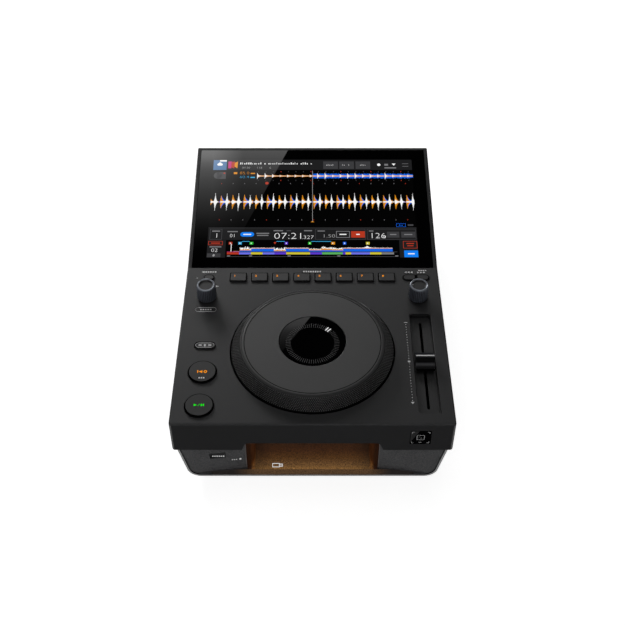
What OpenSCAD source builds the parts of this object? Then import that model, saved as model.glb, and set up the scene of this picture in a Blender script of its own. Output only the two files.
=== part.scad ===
// Tabletop DJ media player with a tilted touch screen, a jog wheel, pads, a tempo fader and a USB bay.
// Millimetres. Origin: on the table under the middle of the body. +X right, +Y back, +Z up.
// Most modules draw in the deck frame: X from the middle, Y from the front face, Z from the deck's top.

/* [Body] */
// Width of the body
body_w = 258; // [252:1:264]
// Length of the flat deck, from the front face to the crease
deck_l = 204; // [202:1:212]
// Length of the tilted screen part along its slope
screen_l = 170; // [167:1:176]
// Tilt of the screen part against the deck, in degrees
screen_tilt = 10; // [6:1:13]
// Height of the deck over the table
deck_h = 85; // [84:1:94]
// Height of the fascia, from the deck down to the seam
fascia_h = 37.6; // [36:0.2:39]
// Wall of the upper case
case_wall = 2.5; // [2:0.25:3]
// Rounding of the case's upper edges
edge_r = 1.5; // [1:0.25:3]
// Radius of the case's upright corners
corner_r = 3; // [2:0.25:5]
// Half width of the notch in the fascia's lower edge
notch_half = 65; // [63:0.5:70]
// Height of the notch in the fascia's lower edge
notch_h = 10; // [8:0.5:12]

/* [Tray] */
// Distance from the case's side to the tray's side at the seam
tray_inset = 3.8; // [3.2:0.1:6]
// Slope of the tray's sides, in degrees
tray_taper = 12; // [8:1:14]
// Radius of the tray's lower corners
tray_r = 13; // [10:0.5:16]
// Wall of the tray
tray_wall = 2.2; // [1.8:0.1:2.8]
// Distance of the tray's front edge behind the fascia
tray_setback = 2; // [1:0.25:2.25]
// Height of the tray's tongue inside the case
tongue_h = 4.5; // [3:0.5:6]
// Height of a foot
foot_h = 3.5; // [2:0.25:6]
// Radius of a foot
foot_r = 11; // [8:0.5:13]
// Radius of a case screw
screw_r = 1.5; // [1.25:0.05:1.75]
// Radius of a post that takes a case screw
post_r = 4; // [3.5:0.25:4.5]

/* [Screen] */
// Distance of the screen's glass from the case's side
glass_in = 4.4; // [3:0.1:5]
// Thickness of the screen's glass
glass_t = 1.8; // [1.2:0.2:2.2]
// Distance of the glass from the screen part's upper edge
glass_top = 4.8; // [2:0.2:6]
// Distance of the visible display from the case's side
display_in = 18.6; // [17:0.2:21]
// Length of the visible display along the slope
display_l = 137.6; // [134:0.4:138]
// Distance from the crease to the display's lower edge
display_y = 13.4; // [12:0.2:16]
// Thickness of the display module behind its visible part
module_t = 4; // [3:0.5:6]

/* [Jog wheel] */
// Distance of the jog wheel's axis behind the front face
jog_y = 90.6; // [90:0.2:94]
// Radius of the grip ring at the deck
jog_r = 77.5; // [76:0.5:78]
// Gap between the grip ring and the deck
jog_gap = 1.5; // [1:0.25:2]
// Radius of the top plate
plate_r = 67.5; // [64:0.5:68]
// Height of the top plate over the deck
plate_h = 12.5; // [11:0.5:14]
// Thickness of the top plate
plate_t = 2.4; // [2:0.2:2.8]
// Radius of the round window in the middle
window_r = 31.4; // [30:0.2:32]
// Radius of the bearing's bore
bearing_bore = 27; // [25:0.5:28]
// Radius of the bearing's outside
bearing_r = 33; // [32:0.5:34]
// Height of the bearing
bearing_h = 8; // [6:0.5:9]
// Depth of the dish below the deck's top
dish_depth = 19; // [18:0.5:22]
// Radius of the encoder disc
disc_r = 58; // [54:0.5:60]
// Thickness of the encoder disc
disc_t = 0.8; // [0.6:0.1:1.2]

/* [Pads and buttons] */
// Space between two hot cue pads
pad_space = 4.65; // [3.9:0.05:6]
// Length of a hot cue pad
pad_l = 11.7; // [10:0.1:12.5]
// Space between the pad row and the mode buttons
pad_end_gap = 7.825; // [6:0.025:9]
// Number of hot cue pads
pad_count = 8;
// Distance of the pad row behind the front face
pad_y = 189.2; // [188:0.2:190]
// Height of the pads over the deck
pad_proud = 1.4; // [1:0.1:2]
// Travel of the pads
pad_travel = 0.8; // [0.5:0.1:1]
// How far the columns of knobs and small buttons are off the middle of the strip beside the wheel
column_shift = 1.8; // [1:0.1:3]
// Width of the back button
back_w = 11; // [9:0.25:13]
// Length of the back button and the mode buttons
pill_l = 8; // [7:0.25:9]
// Width of one mode button
mode_w = 13; // [11:0.25:14]
// Gap between the two mode buttons
mode_gap = 1.4; // [1.2:0.1:2.4]
// Width of the shift button
shift_w = 20.5; // [18:0.5:22]
// Length of the shift button
shift_l = 9; // [8:0.25:10]
// Distance of the shift button behind the front face
shift_y = 95.2; // [93:0.2:98]
// Height of the small buttons over the deck
pill_proud = 1; // [0.8:0.1:1.6]
// Travel of the small buttons
pill_travel = 0.7; // [0.4:0.1:0.8]
// How far the cue and play buttons are off the middle of the strip beside the wheel
play_shift = -1; // [-2:0.1:0]
// Radius of the cue and play buttons
play_r = 13.3; // [12:0.1:13.5]
// Distance of the cue button behind the front face
cue_y = 61.6; // [60:0.2:63]
// Distance of the play button behind the front face
play_y = 21.4; // [21:0.2:24]
// Height of the cue and play buttons over the deck
play_proud = 1.8; // [1.7:0.1:2.6]
// Travel of the cue and play buttons
play_travel = 1.5; // [1:0.1:1.6]
// Gap all round a button in the deck
key_gap = 0.35; // [0.25:0.05:0.5]
// Width of the flange that holds a button in
key_flange = 1; // [0.8:0.1:1.2]
// Thickness of that flange
flange_t = 1.2; // [1:0.1:1.5]

/* [Knobs] */
// Distance of the knobs behind the front face
knob_y = 161.6; // [161:0.2:163]
// Radius of a knob at its foot
knob_r = 9.8; // [9:0.1:10.5]
// Radius of a knob at its top
knob_top_r = 8.7; // [8:0.1:9]
// Height of a knob over the deck
knob_h = 17; // [15:0.5:20]
// Gap under a knob
knob_lift = 0.9; // [0.85:0.05:1.5]
// Radius of the dish in a knob's top
knob_dish_r = 6.6; // [5:0.1:7]
// Number of flutes round a knob
knob_flutes = 32; // [20:1:36]
// Radius of a knob's shaft
shaft_r = 3; // [2.5:0.25:3.25]
// Play between a turning part and its bore
running_gap = 0.05; // [0.02:0.01:0.1]
// Travel of the browse knob when it is pushed
browse_travel = 0.5; // [0.3:0.05:0.5]
// Side of an encoder's square body
encoder_w = 13; // [12:0.5:14]

/* [Tempo fader] */
// How far the fader is off the middle of the strip beside the wheel
fader_shift = 1.8; // [1:0.1:2.5]
// Distance of the fader's trough behind the front face
trough_front = 12.75; // [12:0.25:16]
// Travel of the fader from end to end
fader_travel = 100; // [90:1:100]
// Width of the trough
trough_w = 20.2; // [19.4:0.2:21]
// Length of the trough
trough_l = 124.5; // [123.5:0.5:128]
// Depth of the trough
trough_depth = 4; // [3.5:0.1:4.6]
// Width of the fader's cap
cap_w = 17.8; // [16:0.2:18.4]
// Length of the fader's cap
cap_l = 21; // [18:0.5:22]
// Height of the fader's cap over the deck
cap_h = 8.7; // [7:0.1:10]
// Width of the stem under the cap
stem_w = 1.8; // [1.4:0.1:2]
// Length of the stem under the cap
stem_l = 8; // [6:0.5:8.5]
// Radius of a rail
rail_r = 1; // [0.8:0.1:1.2]

/* [Front bay] */
// Half width of the bay at its mouth
bay_half = 61.7; // [60:0.1:62.5]
// Half width of the bay at its back
bay_floor_half = 55; // [50:0.5:56]
// Distance of the bay's ramp behind the fascia
bay_front = 7.2; // [6.8:0.1:8]
// Distance of the bay's back wall behind the fascia
bay_back = 32; // [30:0.5:34]
// Slope of the bay's ramp, in degrees
bay_slope = 25; // [18:1:26]
// Thickness of the bay's back wall
bay_wall = 2; // [1.5:0.25:2.5]
// How far the blocks' faces recede towards the bay
block_recede = 5.4; // [4:0.2:6]
// Thickness of the blocks
block_t = 11; // [9:0.5:12]
// Distance of the USB socket from the middle
usb_x = -33.5; // [-40:0.5:40]
// Height of the USB socket below the deck
usb_drop = 52; // [50:0.5:56]
// Distance of the stop button from the case's side
stop_in = 40.5; // [37:0.5:43]
// Height of the stop button below the deck
stop_drop = 53.5; // [50:0.5:56]
// Width of the stop button
stop_w = 14.4; // [12:0.2:16]
// Height of the stop button's face
stop_h = 7.4; // [6:0.2:8]
// Travel of the stop button
stop_travel = 1; // [0.5:0.1:1.2]
// Side of the small window on the fascia
touch_w = 19; // [16:0.5:20]
// Distance of that window from the case's side
touch_in = 31; // [27:0.5:33]
// Height of that window's middle below the deck
touch_drop = 19; // [16:0.5:20]
// Thickness of that window
touch_t = 1.2; // [0.8:0.1:1.4]

/* [Electronics] */
// Thickness of a circuit board
board_t = 1.6; // [1.2:0.2:2]
// Depth of the key boards' tops below the deck
key_board_drop = 10.4; // [10:0.2:12]
// Thickness of the rubber mats
mat_t = 1.6; // [1.2:0.2:2]
// Width of the main board
main_w = 180; // [160:1:190]
// Length of the main board
main_l = 100; // [80:1:110]
// Height of a standoff under the main board
standoff_h = 5; // [4:0.5:7]
// Width of the power supply
supply_w = 110; // [90:1:120]
// Length of the power supply
supply_l = 60; // [50:1:70]
// Height of the power supply
supply_h = 26; // [20:1:30]
// Thickness of the rear panel
rear_t = 1.2; // [1:0.1:2]
// Travel of the power button
power_travel = 2.5; // [1.5:0.1:3]

/* [Hidden] */
// General
EPS = 0.01;
SEAT = 0.2;
CUT = 1;
ARC = 12;
ROUND = 64;
FINE = 128;
// Body
side_x = body_w / 2;
body_d = deck_l + screen_l * cos(screen_tilt);
rear_y = body_d - 4;
rear_in = rear_y - rear_t;
jack_nose = 8;
jack_end = rear_in - SEAT + jack_nose;
front_y = -jack_end / 2;
rise = screen_l * sin(screen_tilt);
edge_step = 0.1;
seam_z = -fascia_h;
tray_z = foot_h - deck_h;
floor_z = tray_z + tray_wall;
tray_top_x = side_x - tray_inset;
corner_z = tray_z + tray_r;
corner_x = tray_top_x - (tray_r + (seam_z - corner_z) * sin(tray_taper)) / cos(tray_taper);
tongue_z = seam_z + tongue_h;
tongue_front = 16;
tongue_back = body_d - 10;
// Case screws: front, middle and rear pairs
post_front_in = 48;
post_front_y = 22;
post_middle_in = 38;
post_middle_y = 146;
post_rear_in = 28;
post_rear_gap = 4.7;
post_front = [side_x - post_front_in, post_front_y];
post_middle = [side_x - post_middle_in, post_middle_y];
post_rear = [side_x - post_rear_in, body_d - 2 * case_wall - post_rear_gap];
post_places = [post_front, post_middle, post_rear];
screw_head_r = 2 * screw_r;
screw_head_t = 1.4 * screw_r;
screw_l = 14;
pilot_l = screw_l - tray_wall + 2;
screw_play = 0.2;
foot_in = 40;
foot_x = side_x - foot_in;
foot_front = 46;
foot_rear = 40;
foot_places = [[foot_x, foot_front], [foot_x, body_d - foot_rear]];
// Screen
glass_w = body_w - 2 * glass_in;
display_w = body_w - 2 * display_in;
glass_l = screen_l - glass_top;
glass_gap = 0.4;
glass_seat = glass_t + 0.2;
ledge_t = 2.2;
roof_t = glass_seat + ledge_t;
notch_r = 4;
notch_slant = 2.5;
display_mid = display_y + display_l / 2;
display_gap = 0.6;
module_margin = 3.2;
// Jog wheel
hole_r = jog_r + jog_gap;
strip_x = (hole_r + side_x) / 2;
dish_r = hole_r + 1;
dish_wall = 2;
dish_flange = 3;
dish_floor = dish_wall - dish_depth;
post_wall = 3;
plate_z = plate_h - plate_t;
window_t = 1.5;
window_z = plate_h - 0.4 - window_t;
window_gap = 0.5;
display_t = 3;
bearing_z = -6;
hub_wall = 3.5;
hub_flange_t = 2.4;
hub_flange_z = plate_z - hub_flange_t;
hub_foot_z = bearing_z - 2;
ring_wall = 3.2;
ring_low = -3.5;
ring_edge_h = 0.8;
ring_top_gap = 1.1;
cable_r = 6;
head_t = 1.8;
window_lip = 1.2;
collar_w = 1.4;
lip_gap = 0.3;
lip_w = 0.8;
foot_w = 3;
ring_out = 1.4;
ring_gap = 0.2;
ring_in = 2;
slot_in = 5;
slot_wide = 1.6;
disc_slots = 24;
sensor_in = 3;
sensor_arm = 4;
plate_bevel = 1.2;
groove_in = 3;
groove_w = 0.5;
plate_edge = 0.3;
sensor_w = 11;
sensor_l = 10;
sensor_gap = 1;
// Pads and buttons
column_x = strip_x + column_shift;
play_x = strip_x + play_shift;
pad_row_w = 2 * (column_x - mode_w - mode_gap / 2 - pad_end_gap);
pad_pitch = (pad_row_w + pad_space) / pad_count;
pad_w = pad_pitch - pad_space;
key_r = 1.2;
deck_under = -case_wall;
key_seat = 0.25;
key_low = deck_under - key_seat - flange_t;
board_z = -key_board_drop;
mat_z = board_z + mat_t;
stem_r = 1.5;
stem_gap = 0.35;
play_rim = 1;
left_board_in = hole_r + 8;
left_board_out = side_x - 7;
left_board_w = left_board_out - left_board_in;
left_board_l = 100;
left_board_y = 57;
left_board_x = (left_board_in + left_board_out) / 2;
pad_board_w = body_w - 12;
pad_board_l = 47;
pad_board_y = 176.5;
board_post_r = 2.5;
left_post_x = left_board_in + 1.5;
left_post_front = (cue_y + play_y) / 2 - 0.5;
left_post_back = shift_y + 8.8;
left_posts = [[-left_post_x, left_post_front], [-left_post_x, left_post_back]];
pad_post_x = column_x - 11.8;
pad_post_y = pad_y - 13.2;
pad_inner_x = 60;
pad_inner_y = pad_y - 17.2;
pad_posts = [
  [-pad_post_x, pad_post_y], [-pad_inner_x, pad_inner_y], [pad_inner_x, pad_inner_y], [pad_post_x, pad_post_y]
];
mat_edge = 2;
// Knobs
bush_r = shaft_r + 1.5;
bush_gap = 0.4;
encoder_gap = 0.8;
encoder_top = deck_under - encoder_gap;
plunger_r = shaft_r + 1.6;
plunger_t = 1.2;
plunger_z = board_z + browse_travel + 0.6;
bevel_h = 1.4;
bevel_w = 0.6;
neck_r = shaft_r - 0.6;
chamber_gap = 0.3;
chamber_top = plunger_z + plunger_t + chamber_gap;
foot_gap = 0.1;
dish_h = 1;
flute_r = 0.55;
shaft_hold = 11;
// Tempo fader
fader_x = strip_x + fader_shift;
fader_y = trough_front + trough_l / 2;
slot_w = stem_w + 0.8;
slot_l = fader_travel + stem_l + 1;
trough_t = 1.2;
trough_rim = 2.5;
trough_r = 3;
trough_low = -trough_depth - trough_t;
frame_w = 15;
frame_wall = 0.8;
frame_h = 10;
frame_l = trough_l + 2 * trough_rim - 0.5;
frame_top = trough_low;
carriage_w = 11;
carriage_l = 12;
carriage_h = 4.6;
rail_x = 3.8;
rail_z = frame_top - 5;
rail_gap = 0.06;
cap_skirt = 2.2;
cap_low = -1.2;
cap_ridge = 2.4;
cap_curve_r = 17;
stem_top = 2.5;
// Front bay
panel_gap = 0.4;
panel_recess = 0.9;
panel_over = 1.5;
panel_inset = tray_wall + panel_gap;
panel_front = tray_setback + panel_recess;
panel_top = seam_z + notch_h + panel_over;
strip_t = 1.2;
strip_z = tray_z + panel_inset + strip_t;
block_corner_in = 20;
block_corner_x = side_x - block_corner_in;
bay_gap = 0.3;
bay_r = 7;
bay_ramp_h = (bay_back - bay_front) * tan(bay_slope);
socket_w = 13.2;
socket_h = 5.8;
socket_l = 14;
socket_wall = 0.4;
tongue_w = 11;
tongue_t = 1.9;
tongue_drop = 0.8;
socket_back = 2 - socket_l;
lamp_board_w = 104;
lamp_board_z = panel_top - 6;
stop_x = stop_in - side_x;
stop_gap = 0.3;
stop_depth = 9;
stop_face = panel_front + stop_travel + 1.8;
stop_lean = 2.4;
touch_x = side_x - touch_in;
touch_board_w = 26;
touch_board_h = 2 * (-panel_top - touch_drop - CUT);
// Rear panel
rear_top = seam_z - 0.4;
rear_gap = 0.3;
standoff_in = 6;
main_z = floor_z + standoff_h + board_t;
main_y = rear_in - main_l / 2 - 1;
port_z = main_z + EPS;
inlet_in = 50;
inlet_x = inlet_in - side_x;
inlet_z = tray_z + 22;
inlet_w = 27;
inlet_h = 20;
inlet_l = 18;
inlet_lip = 1.5;
inlet_rim = 3;
inlet_depth = 14;
pin_l = 11;
pin_w = 2;
pin_pitch = 7;
port_shell = 1.6;
port_back = 4;
lan_x = 4;
lan_w = 16;
lan_h = 13.6;
lan_l = 20;
usb_b_x = 26;
usb_b_w = 12;
usb_b_h = 11;
usb_b_l = 16;
jack_places = [44, 60, 76];
jack_w = 13;
jack_h = 14;
jack_l = 11;
jack_r = 4.2;
jack_bore = 1.6;
power_x = inlet_x + 36;
power_w = 14;
power_h = 10;
power_l = 12;
power_proud = power_travel + 1;
supply_y = 190;
supply_x = supply_w / 2 - corner_x;
supply_wall = 1.2;

// Colours
case_grey = [0.23, 0.23, 0.24];
tray_grey = [0.17, 0.17, 0.18];
knob_blue = [0.13, 0.14, 0.19];
black = [0.03, 0.03, 0.035];
steel = [0.7, 0.71, 0.73];
board_green = [0.05, 0.3, 0.15];
rubber_grey = [0.35, 0.35, 0.36];
amber = [0.75, 0.4, 0.12];
brass = [0.8, 0.65, 0.3];

// ---- Shared shapes ----

// The deck frame
module on_deck(x = 0, y = 0, z = 0) {
  translate([x, front_y + y, deck_h + z]) children();
}

// The screen frame: origin at the crease, Y up the slope, Z out of the screen
module on_screen() {
  on_deck(0, deck_l) rotate([screen_tilt, 0, 0]) children();
}

// Points of an arc
function arc(x, y, r, from, to) = [
  for (i = [0 : ARC]) [x + r * cos(from + (to - from) * i / ARC), y + r * sin(from + (to - from) * i / ARC)]
];

// A rounded rectangle, flat
module rounded(w, l, r) {
  square([w - 2 * r, l], center = true);
  square([w, l - 2 * r], center = true);
  for (sx = [-1, 1], sy = [-1, 1])
    translate([sx * (w / 2 - r), sy * (l / 2 - r)]) circle(r, $fn = ROUND);
}

// A plate with rounded corners, from z = low to z = high
module plate(w, l, r, low, high) {
  translate([0, 0, low]) linear_extrude(high - low) rounded(w, l, r);
}

// A box centred in X and Y, from z = low to z = high
module slab(w, l, low, high) {
  translate([-w / 2, -l / 2, low]) cube([w, l, high - low]);
}

// Extrudes an outline in X and Z along Y, from y0 to y1
module along_y(y0, y1) {
  translate([0, y1, 0]) rotate([90, 0, 0]) linear_extrude(y1 - y0) children();
}

// Extrudes an outline in Y and Z along X, centred
module along_x(w) {
  rotate([90, 0, 90]) linear_extrude(w, center = true) children();
}

// Both mirror images of the children in X
module both_sides() {
  children();
  mirror([1, 0, 0]) children();
}

// ---- Upper case ----

// Side outline of the case, shrunk by a wall; its top follows the deck and the screen part
module side_outline(inset, roof, r) {
  crease_y = deck_l + (roof == 0 ? 0 : roof * tan(screen_tilt / 2));
  back = body_d - inset;
  top = roof / cos(screen_tilt);
  back_z = (back - deck_l) * tan(screen_tilt) - top;
  polygon(concat(
    [[inset, seam_z - (inset > 0 ? CUT : 0)]],
    r > 0 ? arc(r, -r, r, 180, 90) : [[inset, -inset]],
    [[crease_y, roof == 0 ? 0 : -inset]],
    roof == 0 ? [] : [[crease_y, (crease_y - deck_l) * tan(screen_tilt) - top]],
    r > 0 ? [[back - r, back_z - r * tan(screen_tilt)], [back, back_z - r]] : [[back, back_z]],
    [[back, seam_z - (inset > 0 ? CUT : 0)]]
  ));
}

// Cross-section of the case with rounded upper edges, reaching down by a depth
module case_section(depth, r) {
  polygon(concat(
    [[-side_x, -depth]], arc(r - side_x, -r, r, 180, 90), arc(side_x - r, -r, r, 90, 0), [[side_x, -depth]]
  ));
}

// The outside of the case as one solid; the screen part's edges are a little rounder than the deck's, so
// that their facets never meet in one point at the crease
module case_block() {
  on_deck() intersection() {
    along_x(body_w + CUT) side_outline(0, 0, edge_r);
    translate([0, body_d / 2, 0]) plate(body_w, body_d, corner_r, seam_z, rise);
    union() {
      along_y(0, body_d) case_section(fascia_h, edge_r);
      translate([0, deck_l, 0]) rotate([screen_tilt, 0, 0])
        along_y(-CUT, screen_l + edge_r) case_section(fascia_h + rise + edge_r, edge_r + edge_step);
    }
  }
}

// The posts that the case screws are driven into
module case_posts() {
  for (place = post_places)
    both_sides() on_deck(place[0], place[1], floor_z + SEAT)
      difference() {
        cylinder(r = post_r, h = post_top(place[1]) - floor_z - SEAT, $fn = ROUND);
        translate([0, 0, -CUT]) cylinder(r = screw_r + EPS, h = pilot_l + CUT, $fn = ROUND);
      }
}

// Height of a post's top at y: inside the deck, or inside the ledge under the screen's glass
function post_top(y) = y > deck_l
  ? (y - deck_l) * tan(screen_tilt) - roof_t / cos(screen_tilt) + CUT
  : deck_under + CUT;

// The notch in the fascia's lower edge
module notch() {
  in = notch_half - notch_slant - notch_r;
  top = seam_z + notch_h - notch_r;
  along_y(-CUT, case_wall + CUT) polygon(concat(
    [[-notch_half - EPS, seam_z - CUT], [-notch_half, seam_z]],
    arc(-in, top, notch_r, 170, 90), arc(in, top, notch_r, 90, 10),
    [[notch_half, seam_z], [notch_half + EPS, seam_z - CUT]]
  ));
}

// One pad's place, counted from the left
function pad_x(i) = (i - (pad_count - 1) / 2) * pad_pitch;

// The holes in the deck for pads, buttons and knobs
module deck_holes() {
  low = deck_under - CUT;
  high = CUT;
  for (i = [0 : pad_count - 1])
    translate([pad_x(i), pad_y, 0])
      plate(pad_w + 2 * key_gap, pad_l + 2 * key_gap, key_r + key_gap, low, high);
  translate([-column_x, pad_y, 0]) pill_plate(back_w, pill_l, key_gap, low, high);
  translate([column_x, pad_y, 0]) pill_plate(2 * mode_w + mode_gap, pill_l, key_gap, low, high);
  translate([-play_x, shift_y, 0]) pill_plate(shift_w, shift_l, key_gap, low, high);
  for (y = [cue_y, play_y])
    translate([-play_x, y, low]) cylinder(r = play_r + 2 * key_gap, h = high - low, $fn = FINE);
  for (sx = [-1, 1])
    translate([sx * column_x, knob_y, low]) cylinder(r = bush_r + bush_gap, h = high - low, $fn = ROUND);
  translate([0, jog_y, low]) cylinder(r = hole_r, h = high - low, $fn = FINE);
  translate([fader_x, fader_y, 0]) plate(trough_w, trough_l, trough_r, low, high);
}

module upper_case() {
  color(case_grey) {
    difference() {
      case_block();
      on_deck() along_x(body_w - 2 * case_wall) side_outline(case_wall, roof_t, 0);
      on_deck() deck_holes();
      on_deck() notch();
      on_deck(touch_x, 0, -touch_drop) rotate([90, 0, 0])
        plate(touch_w + 2 * SEAT, touch_w + 2 * SEAT, key_r, -touch_t, CUT);
      on_screen() translate([0, glass_l / 2, 0])
        plate(glass_w + 2 * glass_gap, glass_l + glass_gap, key_r, -glass_seat, CUT);
      on_screen() translate([0, display_mid, 0])
        slab(display_w + 4 * display_gap, display_l + 4 * display_gap, -roof_t - CUT, CUT);
    }
    case_posts();
    on_deck() board_posts(left_posts);
    on_deck() board_posts(pad_posts);
  }
}

// Short posts that carry the key boards
module board_posts(places) {
  for (place = places)
    translate([place[0], place[1], board_z])
      cylinder(r = board_post_r, h = deck_under - board_z + CUT, $fn = ROUND);
}

// ---- Tray and front panel ----

// Cross-section of the tray, shrunk by an inset, up to a height
module tray_section(inset, top) {
  r = tray_r - inset;
  wall_x = tray_top_x - inset / cos(tray_taper) + (top - seam_z) * tan(tray_taper);
  polygon(concat(
    [[wall_x, top]], arc(corner_x, corner_z, r, -tray_taper, -90),
    arc(-corner_x, corner_z, r, -90, tray_taper - 180), [[-wall_x, top]]
  ));
}

module tray_screw_hole() {
  translate([0, 0, tray_z - CUT]) cylinder(r = screw_r + screw_play, h = tray_wall + 2 * CUT, $fn = ROUND);
  translate([0, 0, tray_z - CUT])
    cylinder(r = screw_head_r + screw_play, h = CUT + screw_head_t, $fn = ROUND);
}

module base_tray() {
  color(tray_grey) {
    on_deck() difference() {
      union() {
        along_y(tray_setback, rear_y + CUT) tray_section(0, seam_z - SEAT);
        along_y(tongue_front, tongue_back) tray_section(0, tongue_z);
      }
      along_y(tray_setback - CUT, body_d + CUT) tray_section(tray_wall, tongue_z + CUT);
      for (place = post_places)
        both_sides() translate([place[0], place[1], 0]) tray_screw_hole();
    }
    on_deck() for (sx = [-1, 1], sy = [-1, 1])
      translate([sx * (main_w / 2 - standoff_in), main_y + sy * (main_l / 2 - standoff_in), floor_z - EPS])
        cylinder(r = board_post_r, h = standoff_h + EPS, $fn = ROUND);
  }
}

// Plan of one block: its face recedes towards the bay
module block_plan() {
  polygon([
    [bay_half + bay_gap, panel_front + block_recede], [block_corner_x, panel_front], [side_x, panel_front],
    [side_x, panel_front + block_t], [bay_half + bay_gap, panel_front + block_t]
  ]);
}

// The hole for the stop button
module stop_hole() {
  translate([stop_x, 0, -stop_drop]) rotate([90, 0, 0])
    plate(stop_w + 2 * stop_gap, stop_h + 2 * stop_gap, 2 * stop_gap, -block_t - panel_front - CUT, 0);
}

module front_panel() {
  color(black) on_deck() difference() {
    intersection() {
      along_y(panel_front - EPS, panel_front + block_t) tray_section(panel_inset, panel_top);
      union() {
        both_sides() translate([0, 0, tray_z]) linear_extrude(panel_top - tray_z) block_plan();
        translate([-side_x, tray_setback, tray_z])
          cube([body_w, bay_front - bay_gap - tray_setback, strip_z - tray_z]);
        both_sides() translate([bay_half + bay_gap, tray_setback, tray_z])
          cube([body_w, block_t, strip_z - tray_z]);
      }
    }
    stop_hole();
  }
}

// Half of the bay's plan: a mouth that narrows in a round corner
module bay_plan() {
  both_sides() polygon(concat(
    [[0, bay_front - CUT], [bay_half - EPS, bay_front - CUT]],
    arc(bay_floor_half + bay_r, bay_front + bay_r + 2, bay_r, -90, -180),
    [[bay_floor_half, bay_back], [0, bay_back]]
  ));
}

module bay_diffuser() {
  low = strip_z - strip_t;
  high = panel_top - bay_wall;
  color(amber) on_deck() difference() {
    translate([-bay_half, bay_front, low])
      cube([2 * bay_half, bay_back + bay_wall - bay_front, panel_top - low]);
    intersection() {
      translate([0, 0, low]) linear_extrude(high - low) bay_plan();
      along_x(2 * bay_half) polygon([
        [bay_front - CUT, strip_z - CUT * tan(bay_slope)],
        [bay_back + CUT, strip_z + bay_ramp_h + CUT * tan(bay_slope)],
        [bay_back + CUT, panel_top], [bay_front - CUT, panel_top]
      ]);
    }
    translate([usb_x, 0, -usb_drop]) rotate([90, 0, 0])
      slab(socket_w + 2 * bay_gap, socket_h + 2 * bay_gap, -bay_back - bay_wall - CUT, -bay_back + CUT);
  }
}

module bay_lamp_board() {
  y0 = bay_back + bay_wall;
  color(board_green) on_deck() difference() {
    translate([0, y0 + board_t, 0]) rotate([90, 0, 0])
      translate([0, (strip_z + lamp_board_z) / 2, 0]) slab(lamp_board_w, lamp_board_z - strip_z, 0, board_t);
    translate([usb_x, 0, -usb_drop]) rotate([90, 0, 0])
      slab(socket_w + SEAT, socket_h + SEAT, -y0 - board_t - CUT, -y0 + CUT);
  }
}

module front_usb_a() {
  color(steel) on_deck(usb_x, bay_back - SEAT, -usb_drop) rotate([90, 0, 0]) {
    difference() {
      slab(socket_w, socket_h, -socket_l, 0);
      slab(socket_w - 2 * socket_wall, socket_h - 2 * socket_wall, socket_back, CUT);
    }
    translate([0, (socket_h - tongue_t) / 2 - socket_wall - tongue_drop, 0])
      slab(tongue_w, tongue_t, socket_back - EPS, -tongue_drop);
  }
}

// The stop button: its face leans back towards the top
module usb_stop_button() {
  back = stop_face + stop_depth;
  color(black) on_deck(stop_x, 0, -stop_drop) along_x(stop_w) polygon([
    [stop_face, -stop_h / 2], [stop_face + stop_lean, stop_h / 2], [back, stop_h / 2], [back, -stop_h / 2]
  ]);
}

module touch_window() {
  color(black) on_deck(touch_x, 0, -touch_drop) rotate([90, 0, 0])
    plate(touch_w, touch_w, key_r, SEAT - touch_t, 0);
}

module touch_board() {
  color(board_green) on_deck(touch_x, case_wall + board_t, -touch_drop) rotate([90, 0, 0])
    slab(touch_board_w, touch_board_h, 0, board_t);
}

// ---- Screen ----

module screen_glass() {
  color(black) on_screen() translate([0, glass_l / 2, 0])
    plate(glass_w, glass_l - glass_gap, key_r, SEAT - glass_seat, 0);
}

module lcd_module() {
  color(steel) on_screen() translate([0, display_mid, 0]) {
    slab(display_w + 4 * module_margin, display_l + 2 * module_margin, -roof_t - module_t, -roof_t);
    slab(display_w + 2 * display_gap, display_l + 2 * display_gap, -roof_t - EPS, -glass_seat);
  }
}

// ---- Jog wheel ----

// Draws round the jog wheel's axis
module on_jog() {
  on_deck(0, jog_y) children();
}

module spun(points) {
  rotate_extrude($fn = FINE) polygon(points);
}

// The dish with its fixed post; the post carries the display and the window
module jog_mount() {
  bore = bearing_bore - post_wall;
  seat_z = window_z - display_t - SEAT;
  head_z = seat_z - head_t;
  lip_r = window_r - window_lip;
  collar = bearing_bore + collar_w;
  wall_r = dish_r + dish_wall;
  flange_r = wall_r + dish_flange;
  flange_z = deck_under - dish_wall;
  color(black) on_jog() spun([
      [cable_r, -dish_depth], [wall_r, -dish_depth], [wall_r, flange_z], [flange_r, flange_z],
      [flange_r, deck_under], [dish_r, deck_under], [dish_r, dish_floor], [collar, dish_floor],
      [collar, bearing_z], [bearing_bore, bearing_z], [bearing_bore, head_z], [window_r, head_z],
      [window_r, window_z], [lip_r, window_z], [lip_r, seat_z], [bore, seat_z], [bore, dish_floor],
      [cable_r, dish_floor]
    ]);
}

module jog_bearing() {
  color(steel) on_jog() spun([
    [bearing_bore + EPS, bearing_z], [bearing_r, bearing_z], [bearing_r, bearing_z + bearing_h],
    [bearing_bore + EPS, bearing_z + bearing_h]
  ]);
}

module jog_hub() {
  bore = bearing_r + running_gap;
  out = bore + hub_wall;
  lip_z = bearing_z + bearing_h + lip_gap;
  lip_r = window_r + lip_w;
  foot_top = hub_foot_z + dish_wall;
  color(steel) on_jog() spun([
    [bore, hub_foot_z], [out + foot_w, hub_foot_z], [out + foot_w, foot_top], [out, foot_top],
    [out, hub_flange_z], [disc_r, hub_flange_z], [disc_r, plate_z - EPS], [lip_r, plate_z - EPS],
    [lip_r, lip_z], [bore, lip_z]
  ]);
}

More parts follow.
